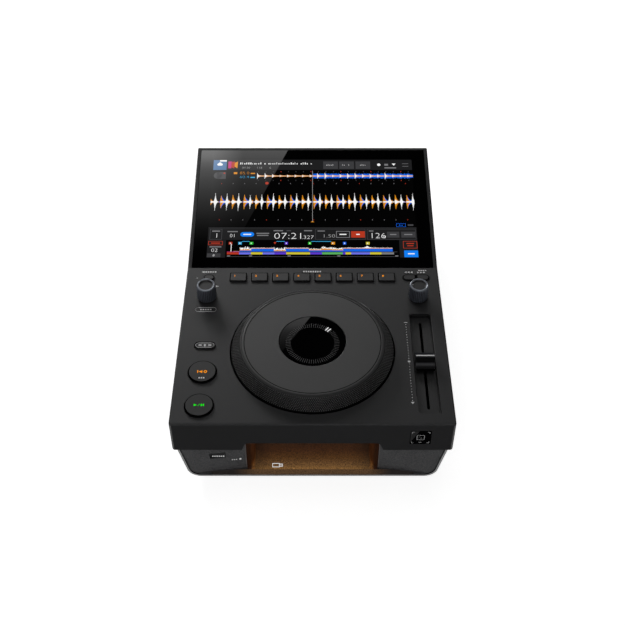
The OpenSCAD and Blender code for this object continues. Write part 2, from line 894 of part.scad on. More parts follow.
module encoder_disc() {
  inner = bearing_r + running_gap + CUT;
  low = hub_foot_z - disc_t;
  high = hub_foot_z - EPS;
  color(steel) on_jog() difference() {
    spun([[inner, low], [disc_r, low], [disc_r, high], [inner, high]]);
    for (i = [0 : disc_slots - 1]) rotate(i * 360 / disc_slots)
      translate([disc_r - slot_in, 0, 0]) slab(slot_in, slot_wide, low - CUT, high + CUT);
  }
}

module jog_sensor() {
  mid = hub_foot_z - disc_t / 2;
  color(black) on_jog() translate([disc_r - CUT, 0, 0]) difference() {
    slab(sensor_w, sensor_l, dish_floor, mid + sensor_arm);
    translate([-sensor_in, 0, 0]) slab(sensor_w, sensor_l + CUT, mid - sensor_gap, mid + sensor_gap);
  }
}

module jog_grip_ring() {
  top = plate_h - ring_top_gap;
  seat = plate_z - EPS;
  color(case_grey) on_jog() spun([
    [jog_r - ring_wall, ring_low], [jog_r, ring_low], [jog_r, ring_edge_h], [plate_r + ring_out, top],
    [plate_r + ring_gap, top], [plate_r + ring_gap, seat], [disc_r + ring_gap, seat],
    [disc_r + ring_gap, hub_flange_z], [plate_r - ring_in, hub_flange_z]
  ]);
}

module jog_top_plate() {
  bore = window_r + window_gap;
  in = plate_r - groove_in;
  out = in + groove_w;
  color(case_grey) on_jog() spun([
    [bore, plate_z], [plate_r, plate_z], [plate_r, plate_h - plate_bevel / 2],
    [plate_r - plate_bevel, plate_h], [out, plate_h], [out, plate_h - groove_w],
    [in, plate_h - groove_w], [in, plate_h], [bore + plate_edge, plate_h], [bore, plate_h - plate_edge]
  ]);
}

module jog_display() {
  color(black) on_jog() translate([0, 0, window_z - display_t - SEAT])
    cylinder(r = window_r - window_lip - ring_gap, h = display_t, $fn = FINE);
}

module jog_window() {
  color(black) on_jog() translate([0, 0, window_z])
    cylinder(r = window_r, h = window_t, $fn = FINE);
}

// ---- Pads and buttons ----

// A plate whose ends are round
module pill_plate(w, l, grow, low, high) {
  plate(w + 2 * grow, l + 2 * grow, l / 2 + grow - EPS, low, high);
}

// Two stems that press the mat
module key_stems(apart, travel) {
  low = mat_z + travel + stem_gap;
  for (sx = [-1, 1])
    translate([sx * apart, 0, low]) cylinder(r = stem_r, h = key_low - low + EPS, $fn = ROUND);
}

// A pad with its holding flange
module pad(i) {
  grow = 2 * (key_gap + key_flange);
  color(case_grey) on_deck(pad_x(i), pad_y) {
    plate(pad_w, pad_l, key_r, key_low + EPS, pad_proud);
    plate(pad_w + grow, pad_l + grow, key_r, key_low, key_low + flange_t);
    key_stems(pad_w / 4, pad_travel);
  }
}

// A small button with round ends
module pill_button(x, y, w, l) {
  color(case_grey) on_deck(x, y) {
    pill_plate(w, l, 0, key_low + EPS, pill_proud);
    pill_plate(w, l, key_gap + key_flange, key_low, key_low + flange_t);
    key_stems(w / 5, pill_travel);
  }
}

// One half of the split mode button; side is -1 for the left half and 1 for the right
module mode_button(side) {
  whole = 2 * mode_w + mode_gap;
  wide = 2 * whole;
  color(case_grey) on_deck(column_x, pad_y) {
    intersection() {
      union() {
        pill_plate(whole, pill_l, 0, key_low + EPS, pill_proud);
        pill_plate(whole, pill_l, key_gap + key_flange, key_low, key_low + flange_t);
      }
      translate([side * (wide + mode_gap) / 2, 0, 0]) slab(wide, wide, key_low - CUT, pill_proud + CUT);
    }
    translate([side * (mode_w + mode_gap) / 2, 0, 0]) key_stems(mode_w / 5, pill_travel);
  }
}

// A round button with a rounded rim
module round_button(y) {
  out = play_r + 2 * key_gap + key_flange;
  color(case_grey) on_deck(-play_x, y) {
    spun(concat(
      [[0, key_low], [out, key_low], [out, key_low + flange_t], [play_r, key_low + flange_t]],
      arc(play_r - play_rim, play_proud - play_rim, play_rim, 0, 90), [[0, play_proud]]
    ));
    key_stems(play_r / 2, play_travel);
  }
}

module hot_cue_1() pad(0);
module hot_cue_2() pad(1);
module hot_cue_3() pad(2);
module hot_cue_4() pad(3);
module hot_cue_5() pad(4);
module hot_cue_6() pad(5);
module hot_cue_7() pad(6);
module hot_cue_8() pad(7);
module back_button() pill_button(-column_x, pad_y, back_w, pill_l);
module mode_button_left() mode_button(-1);
module mode_button_right() mode_button(1);
module shift_button() pill_button(-play_x, shift_y, shift_w, shift_l);
module cue_button() round_button(cue_y);
module play_button() round_button(play_y);

module left_board() {
  color(board_green) on_deck(-left_board_x, left_board_y)
    slab(left_board_w, left_board_l, board_z - board_t, board_z);
}

module left_mat() {
  color(rubber_grey) on_deck() difference() {
    translate([-left_board_x, left_board_y, 0])
      slab(left_board_w - 2 * mat_edge, left_board_l - 2 * mat_edge, board_z, mat_z);
    mat_holes(left_posts);
  }
}

// Clearance round the posts that pass a mat
module mat_holes(places) {
  for (place = places)
    translate([place[0], place[1], board_z - CUT])
      cylinder(r = board_post_r + 2 * SEAT, h = mat_t + 2 * CUT, $fn = ROUND);
}

module pad_board() {
  color(board_green) on_deck() difference() {
    translate([0, pad_board_y, 0]) slab(pad_board_w, pad_board_l, board_z - board_t, board_z);
    translate([0, jog_y, board_z - board_t - CUT])
      cylinder(r = dish_r + dish_wall + CUT, h = board_t + 2 * CUT, $fn = FINE);
  }
}

module pad_mat() {
  color(rubber_grey) on_deck(0, pad_y)
    slab(pad_board_w - 2 * mat_edge, pad_l + 3 * mat_edge, board_z, mat_z);
}

// ---- Knobs ----

// A fluted knob with a bevelled ring and a dish in its top
module knob(sx) {
  low = knob_lift;
  dish_z = knob_h - dish_h;
  lean = -atan((knob_r - knob_top_r - bevel_w) / (knob_h - bevel_h - low));
  color(knob_blue) on_deck(sx * column_x, knob_y) difference() {
    spun([
      [0, low], [knob_r - bevel_w, low], [knob_r, low + bevel_w], [knob_top_r + bevel_w, knob_h - bevel_h],
      [knob_top_r, knob_h], [knob_dish_r, knob_h], [knob_dish_r - bevel_w, dish_z], [0, dish_z]
    ]);
    for (i = [0 : knob_flutes - 1]) rotate(i * 360 / knob_flutes)
      translate([knob_r, 0, low + bevel_h]) rotate([0, lean, 0])
        cylinder(r = flute_r, h = knob_h - 2.7 * bevel_h - low, $fn = 24);
    translate([0, 0, low - CUT]) cylinder(r = shaft_r + EPS, h = CUT + shaft_hold, $fn = ROUND);
  }
}

module browse_knob() knob(-1);
module adjust_knob() knob(1);

// An encoder's body with a bush through the deck; the chamber gives the plunger room
module encoder(sx, chamber) {
  bore = shaft_r + running_gap;
  color(steel) on_deck(sx * column_x, knob_y) difference() {
    union() {
      slab(encoder_w, encoder_w, board_z, encoder_top);
      translate([0, 0, encoder_top - EPS]) cylinder(r = bush_r, h = -encoder_top + EPS, $fn = ROUND);
    }
    translate([0, 0, board_z - CUT]) cylinder(r = bore, h = -board_z + 2 * CUT, $fn = ROUND);
    if (chamber)
      translate([0, 0, board_z - CUT])
        cylinder(r = plunger_r + chamber_gap, h = CUT + chamber_top - board_z, $fn = ROUND);
  }
}

module browse_encoder() encoder(-1, true);
module adjust_encoder() encoder(1, false);

// The collar that goes down with the shaft and presses the switch
module browse_plunger() {
  color(rubber_grey) on_deck(-column_x, knob_y, plunger_z) difference() {
    cylinder(r = plunger_r, h = plunger_t, $fn = ROUND);
    translate([0, 0, -CUT]) cylinder(r = neck_r + running_gap, h = plunger_t + 2 * CUT, $fn = ROUND);
  }
}

// A shaft from its foot up into the knob; a neck takes the plunger
module browse_shaft() {
  top = knob_lift + shaft_hold - SEAT;
  low = plunger_z - foot_gap;
  neck_top = plunger_z + plunger_t + foot_gap;
  color(steel) on_deck(-column_x, knob_y) rotate_extrude($fn = ROUND) polygon([
    [0, low], [neck_r, low], [neck_r, neck_top], [shaft_r, neck_top], [shaft_r, top], [0, top]
  ]);
}

module adjust_shaft() {
  low = board_z + 2 * SEAT;
  color(steel) on_deck(column_x, knob_y, low)
    cylinder(r = shaft_r, h = knob_lift + shaft_hold - SEAT - low, $fn = ROUND);
}

// ---- Tempo fader ----

module fader_trough() {
  out_w = trough_w + 2 * trough_rim;
  out_l = trough_l + 2 * trough_rim;
  color(black) on_deck(fader_x, fader_y) difference() {
    plate(out_w, out_l, trough_r, trough_low, deck_under);
    plate(trough_w, trough_l, trough_r, -trough_depth, CUT);
    plate(slot_w, slot_l, slot_w / 2 - EPS, trough_low - CUT, CUT);
  }
}

module fader_frame() {
  low = frame_top - frame_h;
  color(steel) on_deck(fader_x, fader_y) difference() {
    slab(frame_w, frame_l, low, frame_top);
    slab(frame_w - 2 * frame_wall, frame_l - 2 * frame_wall, low + frame_wall, frame_top + CUT);
  }
}

module fader_rails() {
  length = frame_l - 2 * frame_wall;
  color(steel) on_deck(fader_x, fader_y)
    for (sx = [-1, 1]) translate([sx * rail_x, length / 2, rail_z]) rotate([90, 0, 0])
      cylinder(r = rail_r, h = length, $fn = ROUND);
}

module fader_carriage() {
  color(rubber_grey) on_deck(fader_x, fader_y) difference() {
    union() {
      slab(carriage_w, carriage_l, rail_z - carriage_h / 2, rail_z + carriage_h / 2);
      slab(stem_w, stem_l, rail_z, stem_top);
    }
    for (sx = [-1, 1]) translate([sx * rail_x, carriage_l, rail_z]) rotate([90, 0, 0])
      cylinder(r = rail_r + rail_gap, h = 2 * carriage_l, $fn = ROUND);
  }
}

// The cap: a ridge across the middle with a hollow in front of it and behind it
module fader_cap() {
  half = cap_l / 2;
  skirt_z = cap_low + cap_skirt;
  ridge = cap_ridge / 2;
  run = half - ridge;
  drop = cap_h - skirt_z;
  chord = sqrt(run * run + drop * drop);
  sag_h = sqrt(cap_curve_r * cap_curve_r - chord * chord / 4);
  mid_y = ridge + run / 2;
  mid_z = skirt_z + drop / 2;
  hub_y = mid_y + sag_h * drop / chord;
  hub_z = mid_z + sag_h * run / chord;
  color(knob_blue) on_deck(fader_x, fader_y) difference() {
    along_x(cap_w) polygon([
      [-half, cap_low], [half, cap_low], [half, skirt_z], [ridge, cap_h], [-ridge, cap_h], [-half, skirt_z]
    ]);
    for (sy = [-1, 1]) translate([0, sy * hub_y, hub_z]) rotate([0, 90, 0])
      cylinder(r = cap_curve_r, h = cap_w + 2 * CUT, center = true, $fn = FINE);
    slab(stem_w + foot_gap, stem_l + foot_gap, cap_low - CUT, stem_top + EPS);
  }
}

// ---- Electronics and rear ----

// The main board is cut round the case's posts
module main_board() {
  color(board_green) on_deck() difference() {
    translate([0, main_y, 0]) slab(main_w, main_l, main_z - board_t, main_z);
    for (place = post_places)
      both_sides() translate([place[0], place[1], main_z - board_t - CUT])
        cylinder(r = post_r + CUT, h = board_t + 2 * CUT, $fn = ROUND);
  }
}

module power_supply() {
  color(steel) on_deck(supply_x, supply_y) difference() {
    slab(supply_w, supply_l, floor_z, floor_z + supply_h);
    slab(supply_w + CUT, supply_l - 2 * supply_wall, floor_z + supply_wall, floor_z + supply_h - supply_wall);
  }
}

// A cut through the rear panel for a port
module rear_hole(x, z, w, h) {
  translate([x, rear_y + CUT, z]) rotate([90, 0, 0])
    slab(w + 2 * rear_gap, h + 2 * rear_gap, 0, rear_t + 2 * CUT);
}

module rear_panel() {
  color(steel) on_deck() difference() {
    along_y(rear_in, rear_y) tray_section(tray_wall + rear_gap, rear_top);
    rear_hole(inlet_x, inlet_z, inlet_w, inlet_h);
    rear_hole(lan_x, port_z + lan_h / 2, lan_w, lan_h);
    rear_hole(usb_b_x, port_z + usb_b_h / 2, usb_b_w, usb_b_h);
    rear_hole(power_x, inlet_z, power_w, power_h);
    for (x = jack_places)
      translate([x, rear_y + CUT, port_z + jack_h / 2]) rotate([90, 0, 0])
        cylinder(r = jack_r + rear_gap, h = rear_t + 2 * CUT, $fn = ROUND);
    for (place = post_places)
      both_sides() translate([place[0], place[1], tray_z])
        cylinder(r = post_r + SEAT, h = deck_h, $fn = ROUND);
  }
}

module mains_inlet() {
  color(black) on_deck(inlet_x, rear_y + inlet_lip, inlet_z) rotate([90, 0, 0]) {
    difference() {
      union() {
        slab(inlet_w, inlet_h, 0, inlet_l);
        slab(inlet_w + 2 * inlet_rim, inlet_h + inlet_rim, 0, inlet_lip - EPS);
      }
      slab(inlet_w - 2 * port_shell, inlet_h - 2 * port_shell, -CUT, inlet_depth);
    }
    for (pin = [-1, 0, 1])
      translate([pin * pin_pitch, (pin == 0 ? 1 : -1) * pin_w, 0])
        slab(pin_w, 2 * pin_w, inlet_depth - pin_l, inlet_depth + EPS);
  }
}

module lan_port() {
  color(steel) on_deck(lan_x, rear_y + SEAT, port_z + lan_h / 2) rotate([90, 0, 0]) difference() {
    slab(lan_w, lan_h, 0, lan_l);
    slab(lan_w - 2 * port_shell, lan_h - 3 * port_shell, -CUT, lan_l - port_back);
  }
}

module rear_usb_b() {
  shell = port_shell / 2;
  color(steel) on_deck(usb_b_x, rear_y + SEAT, port_z + usb_b_h / 2) rotate([90, 0, 0]) {
    difference() {
      slab(usb_b_w, usb_b_h, 0, usb_b_l);
      slab(usb_b_w - 2 * shell, usb_b_h - 2 * shell, -CUT, usb_b_l - port_back);
    }
    slab(usb_b_w / 2, usb_b_h / 3, shell, usb_b_l - port_back + EPS);
  }
}

module rca_jacks() {
  color(brass) for (x = jack_places)
    on_deck(x, rear_in - SEAT, port_z + jack_h / 2) rotate([90, 0, 0]) difference() {
      union() {
        slab(jack_w, jack_h, 0, jack_l);
        translate([0, 0, -jack_nose]) cylinder(r = jack_r, h = jack_nose + EPS, $fn = ROUND);
      }
      translate([0, 0, -jack_nose - CUT]) cylinder(r = jack_bore, h = jack_nose, $fn = ROUND);
    }
}

module power_button() {
  color(black) on_deck(power_x, rear_y + power_proud, inlet_z) rotate([90, 0, 0])
    plate(power_w, power_h, key_r, 0, power_l);
}

module feet() {
  color(black) for (place = foot_places)
    both_sides() on_deck(place[0], place[1], -deck_h) cylinder(r = foot_r, h = foot_h, $fn = ROUND);
}

module case_screws() {
  color(steel) for (place = post_places)
    both_sides() on_deck(place[0], place[1], tray_z + screw_head_t) {
      translate([0, 0, -EPS]) cylinder(r = screw_r, h = screw_l + EPS, $fn = ROUND);
      translate([0, 0, SEAT - screw_head_t])
        cylinder(r = screw_head_r, h = screw_head_t - SEAT, $fn = ROUND);
    }
}

upper_case();
base_tray();
front_panel();
bay_diffuser();
bay_lamp_board();
front_usb_a();
usb_stop_button();
touch_window();
touch_board();
screen_glass();
lcd_module();
jog_mount();
jog_bearing();
jog_hub();
encoder_disc();
jog_sensor();
jog_grip_ring();
jog_top_plate();
jog_display();
jog_window();
hot_cue_1();
hot_cue_2();
hot_cue_3();
hot_cue_4();
hot_cue_5();
hot_cue_6();
hot_cue_7();
hot_cue_8();
back_button();
mode_button_left();
mode_button_right();
shift_button();
cue_button();
play_button();
left_board();
left_mat();
pad_board();
pad_mat();
browse_encoder();
browse_plunger();
browse_shaft();
browse_knob();
adjust_encoder();
adjust_shaft();
adjust_knob();
fader_trough();
fader_frame();
fader_rails();
fader_carriage();
fader_cap();
main_board();
power_supply();
rear_panel();
mains_inlet();
lan_port();
rear_usb_b();
rca_jacks();
power_button();
feet();
case_screws();
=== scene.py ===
import random
from math import atan2, cos, exp, hypot, pi, radians, sin, tan

import bpy
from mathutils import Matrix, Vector


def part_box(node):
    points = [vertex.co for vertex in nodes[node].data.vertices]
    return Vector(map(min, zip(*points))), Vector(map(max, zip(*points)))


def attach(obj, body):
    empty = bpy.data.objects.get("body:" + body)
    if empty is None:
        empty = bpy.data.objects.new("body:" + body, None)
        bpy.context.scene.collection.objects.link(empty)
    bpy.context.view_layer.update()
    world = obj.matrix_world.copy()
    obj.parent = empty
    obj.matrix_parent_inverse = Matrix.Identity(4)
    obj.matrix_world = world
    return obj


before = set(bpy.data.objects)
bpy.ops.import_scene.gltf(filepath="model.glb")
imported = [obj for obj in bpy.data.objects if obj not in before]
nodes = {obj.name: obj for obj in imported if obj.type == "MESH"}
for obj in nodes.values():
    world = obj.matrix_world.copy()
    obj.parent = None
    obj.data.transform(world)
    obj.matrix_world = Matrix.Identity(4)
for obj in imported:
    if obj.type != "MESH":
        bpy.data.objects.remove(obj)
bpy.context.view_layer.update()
bpy.context.scene.view_settings.view_transform = "Standard"
print("frame loaded:", len(nodes), "nodes")

# The deck frame in millimetres: x from the middle, y from the front face, z from the deck's top
deckPlace = {"deckTop": 85.0, "crease": 204.0, "screenTilt": 10.0, "jogAxis": 90.6}
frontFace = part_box("upper_case")[0].y * 1000


def deckPoint(x, y, z=0.0):
    return Vector((x, frontFace + y, deckPlace["deckTop"] + z)) / 1000


def screenPoint(x, along, lift=0.0):
    lean = radians(deckPlace["screenTilt"])
    y = deckPlace["crease"] + along * cos(lean) - lift * sin(lean)
    return deckPoint(x, y, along * sin(lean) + lift * cos(lean))


def tone(red, green, blue):  # screen values 0 to 255 to linear light
    return tuple((v / 255) ** 2.2 for v in (red, green, blue)) + (1.0,)


def shade(colour, share):
    return tuple(c * share for c in colour[:3]) + (1.0,)


# A socket that takes part in Python expressions
class Value:
    def __init__(self, graph, socket):
        self.graph, self.socket = graph, socket

    def part(self, name):
        return Value(self.graph, self.socket.node.outputs[name])

    def __add__(self, other): return self.graph.maths("ADD", self, other)
    def __radd__(self, other): return self.graph.maths("ADD", other, self)
    def __sub__(self, other): return self.graph.maths("SUBTRACT", self, other)
    def __rsub__(self, other): return self.graph.maths("SUBTRACT", other, self)
    def __mul__(self, other): return self.graph.maths("MULTIPLY", self, other)
    def __rmul__(self, other): return self.graph.maths("MULTIPLY", other, self)
    def __truediv__(self, other): return self.graph.maths("DIVIDE", self, other)
    def __mod__(self, other): return self.graph.maths("MODULO", self, other)
    def __gt__(self, other): return self.graph.maths("GREATER_THAN", self, other)
    def __lt__(self, other): return self.graph.maths("LESS_THAN", self, other)


# Adds nodes to a shader tree or a geometry tree
class Graph:
    def __init__(self, tree):
        self.tree = tree

    def node(self, kind, settings=None, sockets=None, out=0):
        made = self.tree.nodes.new(kind)
        for key, setting in (settings or {}).items():
            if key == "stops":
                ramp = made.color_ramp
                while len(ramp.elements) < len(setting):
                    ramp.elements.new(0.5)
                for element, (place, colour) in zip(ramp.elements, setting):
                    element.position, element.color = place, colour
            else:
                setattr(made, key, setting)
        for key, value in (sockets or {}).items():
            if isinstance(value, Value):
                self.tree.links.new(value.socket, made.inputs[key])
            else:
                made.inputs[key].default_value = value
        return Value(self, made.outputs[out]) if len(made.outputs) else made

    def maths(self, operation, *values):
        return self.node("ShaderNodeMath", {"operation": operation}, dict(enumerate(values)))

    def xyz(self, *values):
        return self.node("ShaderNodeCombineXYZ", None, dict(enumerate(values)))

    def blend(self, share, first, second):  # mixes two colours
        return self.node("ShaderNodeMix", {"data_type": "RGBA"}, {0: share, 6: first, 7: second}, 2)

    def scaled(self, colour, share):
        return self.node("ShaderNodeVectorMath", {"operation": "SCALE"}, {0: colour, "Scale": share})

    def ramp(self, stops, place):
        return self.node("ShaderNodeValToRGB", {"stops": stops}, {0: place})

    def mapped(self, value, low, high, first=0.0, last=1.0):  # from low and high to first and last
        return self.node("ShaderNodeMapRange", None, {0: value, 1: low, 2: high, 3: first, 4: last})

    def clamped(self, value, low, high):  # 0 below low, 1 above high, smooth between
        return self.node("ShaderNodeMapRange", {"interpolation_type": "SMOOTHSTEP"}, {0: value, 1: low, 2: high})


class Finish(Graph):
    def __init__(self, name):
        self.material = bpy.data.materials.new(name)
        self.material.use_nodes = True
        super().__init__(self.material.node_tree)
        self.tree.nodes.clear()
        self.spot = self.node("ShaderNodeTexCoord").part("Object")

    def noise(self, grain, detail=2.0):  # grain is the size of a speck in millimetres
        return self.node("ShaderNodeTexNoise", None,
                         {"Vector": self.spot, "Scale": 1000 / grain, "Detail": detail}).part("Fac")

    def axes(self):
        split = self.node("ShaderNodeSeparateXYZ", None, {0: self.spot})
        return split.part("X"), split.part("Y"), split.part("Z")

    def bump(self, height, depth, strength):
        return self.node("ShaderNodeBump", None, {"Strength": strength, "Distance": depth / 1000, "Height": height})

    def surface(self, **sockets):
        shader = self.node("ShaderNodeBsdfPrincipled", None,
                           {key.replace("_", " "): value for key, value in sockets.items()})
        self.node("ShaderNodeOutputMaterial", None, {"Surface": shader})
        return self.material


# what a moulded finish has unless its own look says otherwise; sizes in millimetres
mould = {"cloud": 60.0, "spread": 0.12, "grit": 1.0, "relief": 0.5, "depth": 0.04, "metal": 0.0, "shine": 0.5,
         "coat": 0.0, "roughBySpeck": 0.1, "roughByCloud": 0.05}


def moulded(name, look, tint=None):
    look = dict(mould, **look)
    made = Finish(name)
    speck, cloud = made.noise(look["grain"], 3.0), made.noise(look["cloud"])
    base = made.blend(0.5 + look["grit"] * (0.5 * speck - 0.25) + (0.5 * cloud - 0.25),
                      shade(look["colour"], 1 - look["spread"]), shade(look["colour"], 1 + look["spread"]))
    if tint:
        base = tint(made, base)
    rough = look["rough"] + look["roughBySpeck"] * (speck - 0.5) + look["roughByCloud"] * (cloud - 0.5)
    return made.surface(Base_Color=base, Roughness=rough, Normal=made.bump(speck, look["depth"], look["relief"]),
                        Metallic=look["metal"], Specular_IOR_Level=look["shine"], Coat_Weight=look["coat"])


def skin(colour, grain, rough, depth, **more):
    return {"colour": colour, "grain": grain, "rough": rough, "depth": depth, **more}


finishes = {
    "tray": skin(tone(50, 50, 51), 0.45, 0.48, 0.05),
    "panel": skin(tone(74, 74, 75), 1.0, 0.5, 0.1, spread=0.6, grit=4.5),
    # painted highlight along the tray's rim
    "trayRimHighlight": skin(tone(150, 150, 150), 0.9, 0.5, 0.05, spread=0.4, grit=3.0),
    # painted highlight along the blocks' inner edges
    "blockEdgeHighlight": skin(tone(96, 88, 86), 0.6, 0.5, 0.02),
    "trim": skin(tone(58, 58, 58), 0.35, 0.6, 0.01, shine=0.25),
    # painted highlight along the edges of the pads and of the trough
    "padEdge": skin(tone(92, 92, 92), 0.4, 0.5, 0.01),
    # painted highlight on the shell's rounded front corners
    "cornerHighlight": skin(tone(102, 102, 102), 0.4, 0.5, 0.01),
    "trough": skin(tone(34, 34, 35), 0.5, 0.5, 0.03),
    # the grip ring near black and its studs light grey: painted shade between the studs and painted highlights on
    # them
    "ring": skin(tone(11, 11, 11), 0.5, 0.5, 0.03, shine=0.12),
    "stud": skin(tone(92, 92, 92), 0.4, 0.4, 0.01),
    # near black with little shine: painted shade in gaps, grooves and the fader's slot
    "gap": skin(tone(6, 6, 6), 0.4, 0.7, 0.01, shine=0.03),
    "plate": skin(tone(77, 77, 77), 0.35, 0.4, 0.015, metal=0.2),
    "pad": skin(tone(42, 42, 43), 0.6, 0.5, 0.02),
    "button": skin(tone(31, 31, 32), 0.5, 0.42, 0.02),
    "shift": skin(tone(52, 52, 53), 0.5, 0.45, 0.02),
    "black": skin(tone(18, 18, 18), 0.5, 0.5, 0.03),
    "steel": skin((0.42, 0.42, 0.43, 1), 0.4, 0.35, 0.01, metal=1.0),
    "bright": skin((0.6, 0.6, 0.61, 1), 0.3, 0.22, 0.005, metal=1.0),
    "alloy": skin((0.5, 0.5, 0.51, 1), 0.8, 0.5, 0.05, metal=1.0),
    "gold": skin((0.75, 0.55, 0.25, 1), 0.3, 0.25, 0.005, metal=1.0),
    "board": skin((0.01, 0.09, 0.04, 1), 1.2, 0.35, 0.02, coat=0.4),
    "mat": skin((0.12, 0.12, 0.12, 1), 0.8, 0.7, 0.03),
    "foot": skin((0.012, 0.012, 0.012, 1), 0.7, 0.8, 0.05),
    "print": skin(tone(245, 245, 245), 0.3, 0.6, 0.003, spread=0.04),
    "greyPrint": skin(tone(165, 165, 165), 0.3, 0.6, 0.003, spread=0.04),
    # faint prints, and the painted glare on the touch window
    "faintPrintAndGlare": skin(tone(46, 46, 46), 0.3, 0.4, 0.003, spread=0.1),
}
plain = {name: moulded("dj_" + name, look) for name, look in finishes.items()}

# the shell: a painted highlight makes its rounded front edge as light as the deck in the photo, and painted shade
# makes its fascia darker
caseLook = {"colour": tone(47, 47, 48), "grain": 0.5, "rough": 0.5, "depth": 0.03, "shine": 0.4,
            "brow": tone(57, 57, 58), "face": tone(41, 41, 42), "deep": 1.5, "blur": 0.4, "faceDeep": 0.1}


def caseTint(made, base):
    x, y, z = made.axes()
    front, top = deckPoint(0, caseLook["deep"]).y, deckPoint(0, 0, -caseLook["deep"]).z
    # painted shade: the fascia darker than the deck
    base = made.blend(y < deckPoint(0, caseLook["faceDeep"]).y, base, caseLook["face"])
    # painted highlight: the rounded front edge as light as the deck
    upper = made.clamped(z, top, top + caseLook["blur"] / 1000)
    return made.blend((y < front) * upper, base, caseLook["brow"])


plain["case"] = moulded("dj_case_shell", caseLook, caseTint)

# the knobs: fluted flanks in a lighter grey than the dish as painted light, with painted shade in the flutes,
# a lighter bevelled ring as a painted highlight, and a dish of deck grey; sizes in millimetres
knobLook = {"colour": tone(92, 96, 105), "rim": tone(118, 124, 134), "dish": tone(40, 40, 41), "grain": 0.4,
            "groove": tone(34, 35, 39), "flutes": 32, "fluteFrom": 8.2, "fluteShare": 0.8, "rimShare": 0.8,
            "rough": 0.34, "depth": 0.02, "top": 17.0, "bevel": 1.6, "dishRadius": 7.1, "dishDeep": 2.2,
            "x": 105.8, "y": 161.6}


def knobTint(made, base):
    x, y, z = made.axes()
    centre = deckPoint(knobLook["x"], knobLook["y"], knobLook["top"])
    across, along = made.maths("ABSOLUTE", x) - centre.x, y - centre.y
    apart = made.maths("POWER", across * across + along * along, 0.5)
    rim = made.clamped(z, centre.z - knobLook["bevel"] / 1000, centre.z - knobLook["bevel"] / 2000)
    wave = made.maths("COSINE", made.maths("ARCTAN2", along, across) * knobLook["flutes"])
    flank = apart > knobLook["fluteFrom"] / 1000
    # painted shade in the flutes
    base = made.blend((wave * 0.5 + 0.5) * flank * knobLook["fluteShare"], base, knobLook["groove"])
    # painted highlight on the bevel
    base = made.blend(rim * knobLook["rimShare"], base, knobLook["rim"])
    dish = (z > centre.z - knobLook["dishDeep"] / 1000) * (apart < knobLook["dishRadius"] / 1000)
    return made.blend(dish, base, knobLook["dish"])


plain["knob"] = moulded("dj_knob", knobLook, knobTint)
# the lip's light grey is a painted highlight on the knob's top bevel
plain["lip"] = moulded("dj_knob_lip_highlight", skin(tone(160, 165, 174), 0.4, 0.3, 0.006, metal=0.6))

# the front half of the fader's cap from its skirt to its line, with a painted reflection; the stops are millimetres
# from the line and
# paint what the polished front mirrors: the dark fascia and a lighter band below it
capLook = {"colour": tone(40, 41, 44), "grain": 0.4, "rough": 0.4, "depth": 0.02, "shine": 0.05, "y": 75.0,
           "front": -10.5,
           "stops": [(-10.5, tone(7, 7, 8)), (-9.7, tone(12, 12, 13)), (-9.4, tone(60, 60, 61)),
                     (-9.0, tone(26, 26, 27)), (-8.0, tone(50, 50, 51)), (-6.6, tone(92, 92, 94)),
                     (-5.4, tone(78, 78, 80)), (-4.7, tone(8, 8, 9)), (-1.9, tone(5, 5, 6)),
                     (-1.7, tone(50, 51, 54)), (0.0, tone(50, 51, 54))]}


def capTint(made, base):
    x, y, z = made.axes()
    along = (y - deckPoint(0, capLook["y"]).y) * 1000
    stops = [(1 - place / capLook["front"], colour) for place, colour in capLook["stops"]]
    return made.blend(along < 0, base, made.ramp(stops, made.mapped(along, capLook["front"], 0.0)))


plain["cap"] = moulded("dj_fader_cap", capLook, capTint)

glassLook = {"colour": (0.0008, 0.0008, 0.0009, 1), "rough": 0.004, "haze": 0.008, "smear": 45.0, "ior": 1.5}


def glassFinish(name, look):
    made = Finish(name)
    smear = made.noise(look["smear"], 4.0)
    return made.surface(Base_Color=made.blend(smear, look["colour"], shade(look["colour"], 2)),
                        Roughness=look["rough"] + look["haze"] * smear, IOR=look["ior"])


plain["glass"] = glassFinish("dj_glass", glassLook)

# the amber guide glows as if lit from inside, its glow painted light: brightest along the foot of its ramp, with
# painted shade towards its sides
amberLook = {"low": -77.7, "high": -67.0, "grain": 0.8, "rough": 0.55, "side": 54.8, "blur": 0.8,
             "fade": (36.0, 55.0, 0.45), "streak": (56.2, 59.0), "depth": 0.08, "relief": 0.6,
             "speck": (0.34, 0.66, 0.25, 1.75), "dark": tone(20, 12, 7), "light": tone(38, 26, 14),
             "far": tone(34, 18, 8),
             "stops": [(0.0, tone(120, 87, 50)), (0.13, tone(98, 71, 43)), (0.25, tone(87, 62, 38)),
                       (0.42, tone(73, 49, 27)), (0.7, tone(56, 35, 21)), (1.0, tone(46, 29, 18))],
             "sideStops": [(0.0, tone(96, 64, 34)), (0.2, tone(84, 54, 27)), (0.42, tone(66, 40, 20)),
                           (0.7, tone(56, 31, 16)), (1.0, tone(46, 25, 12))]}


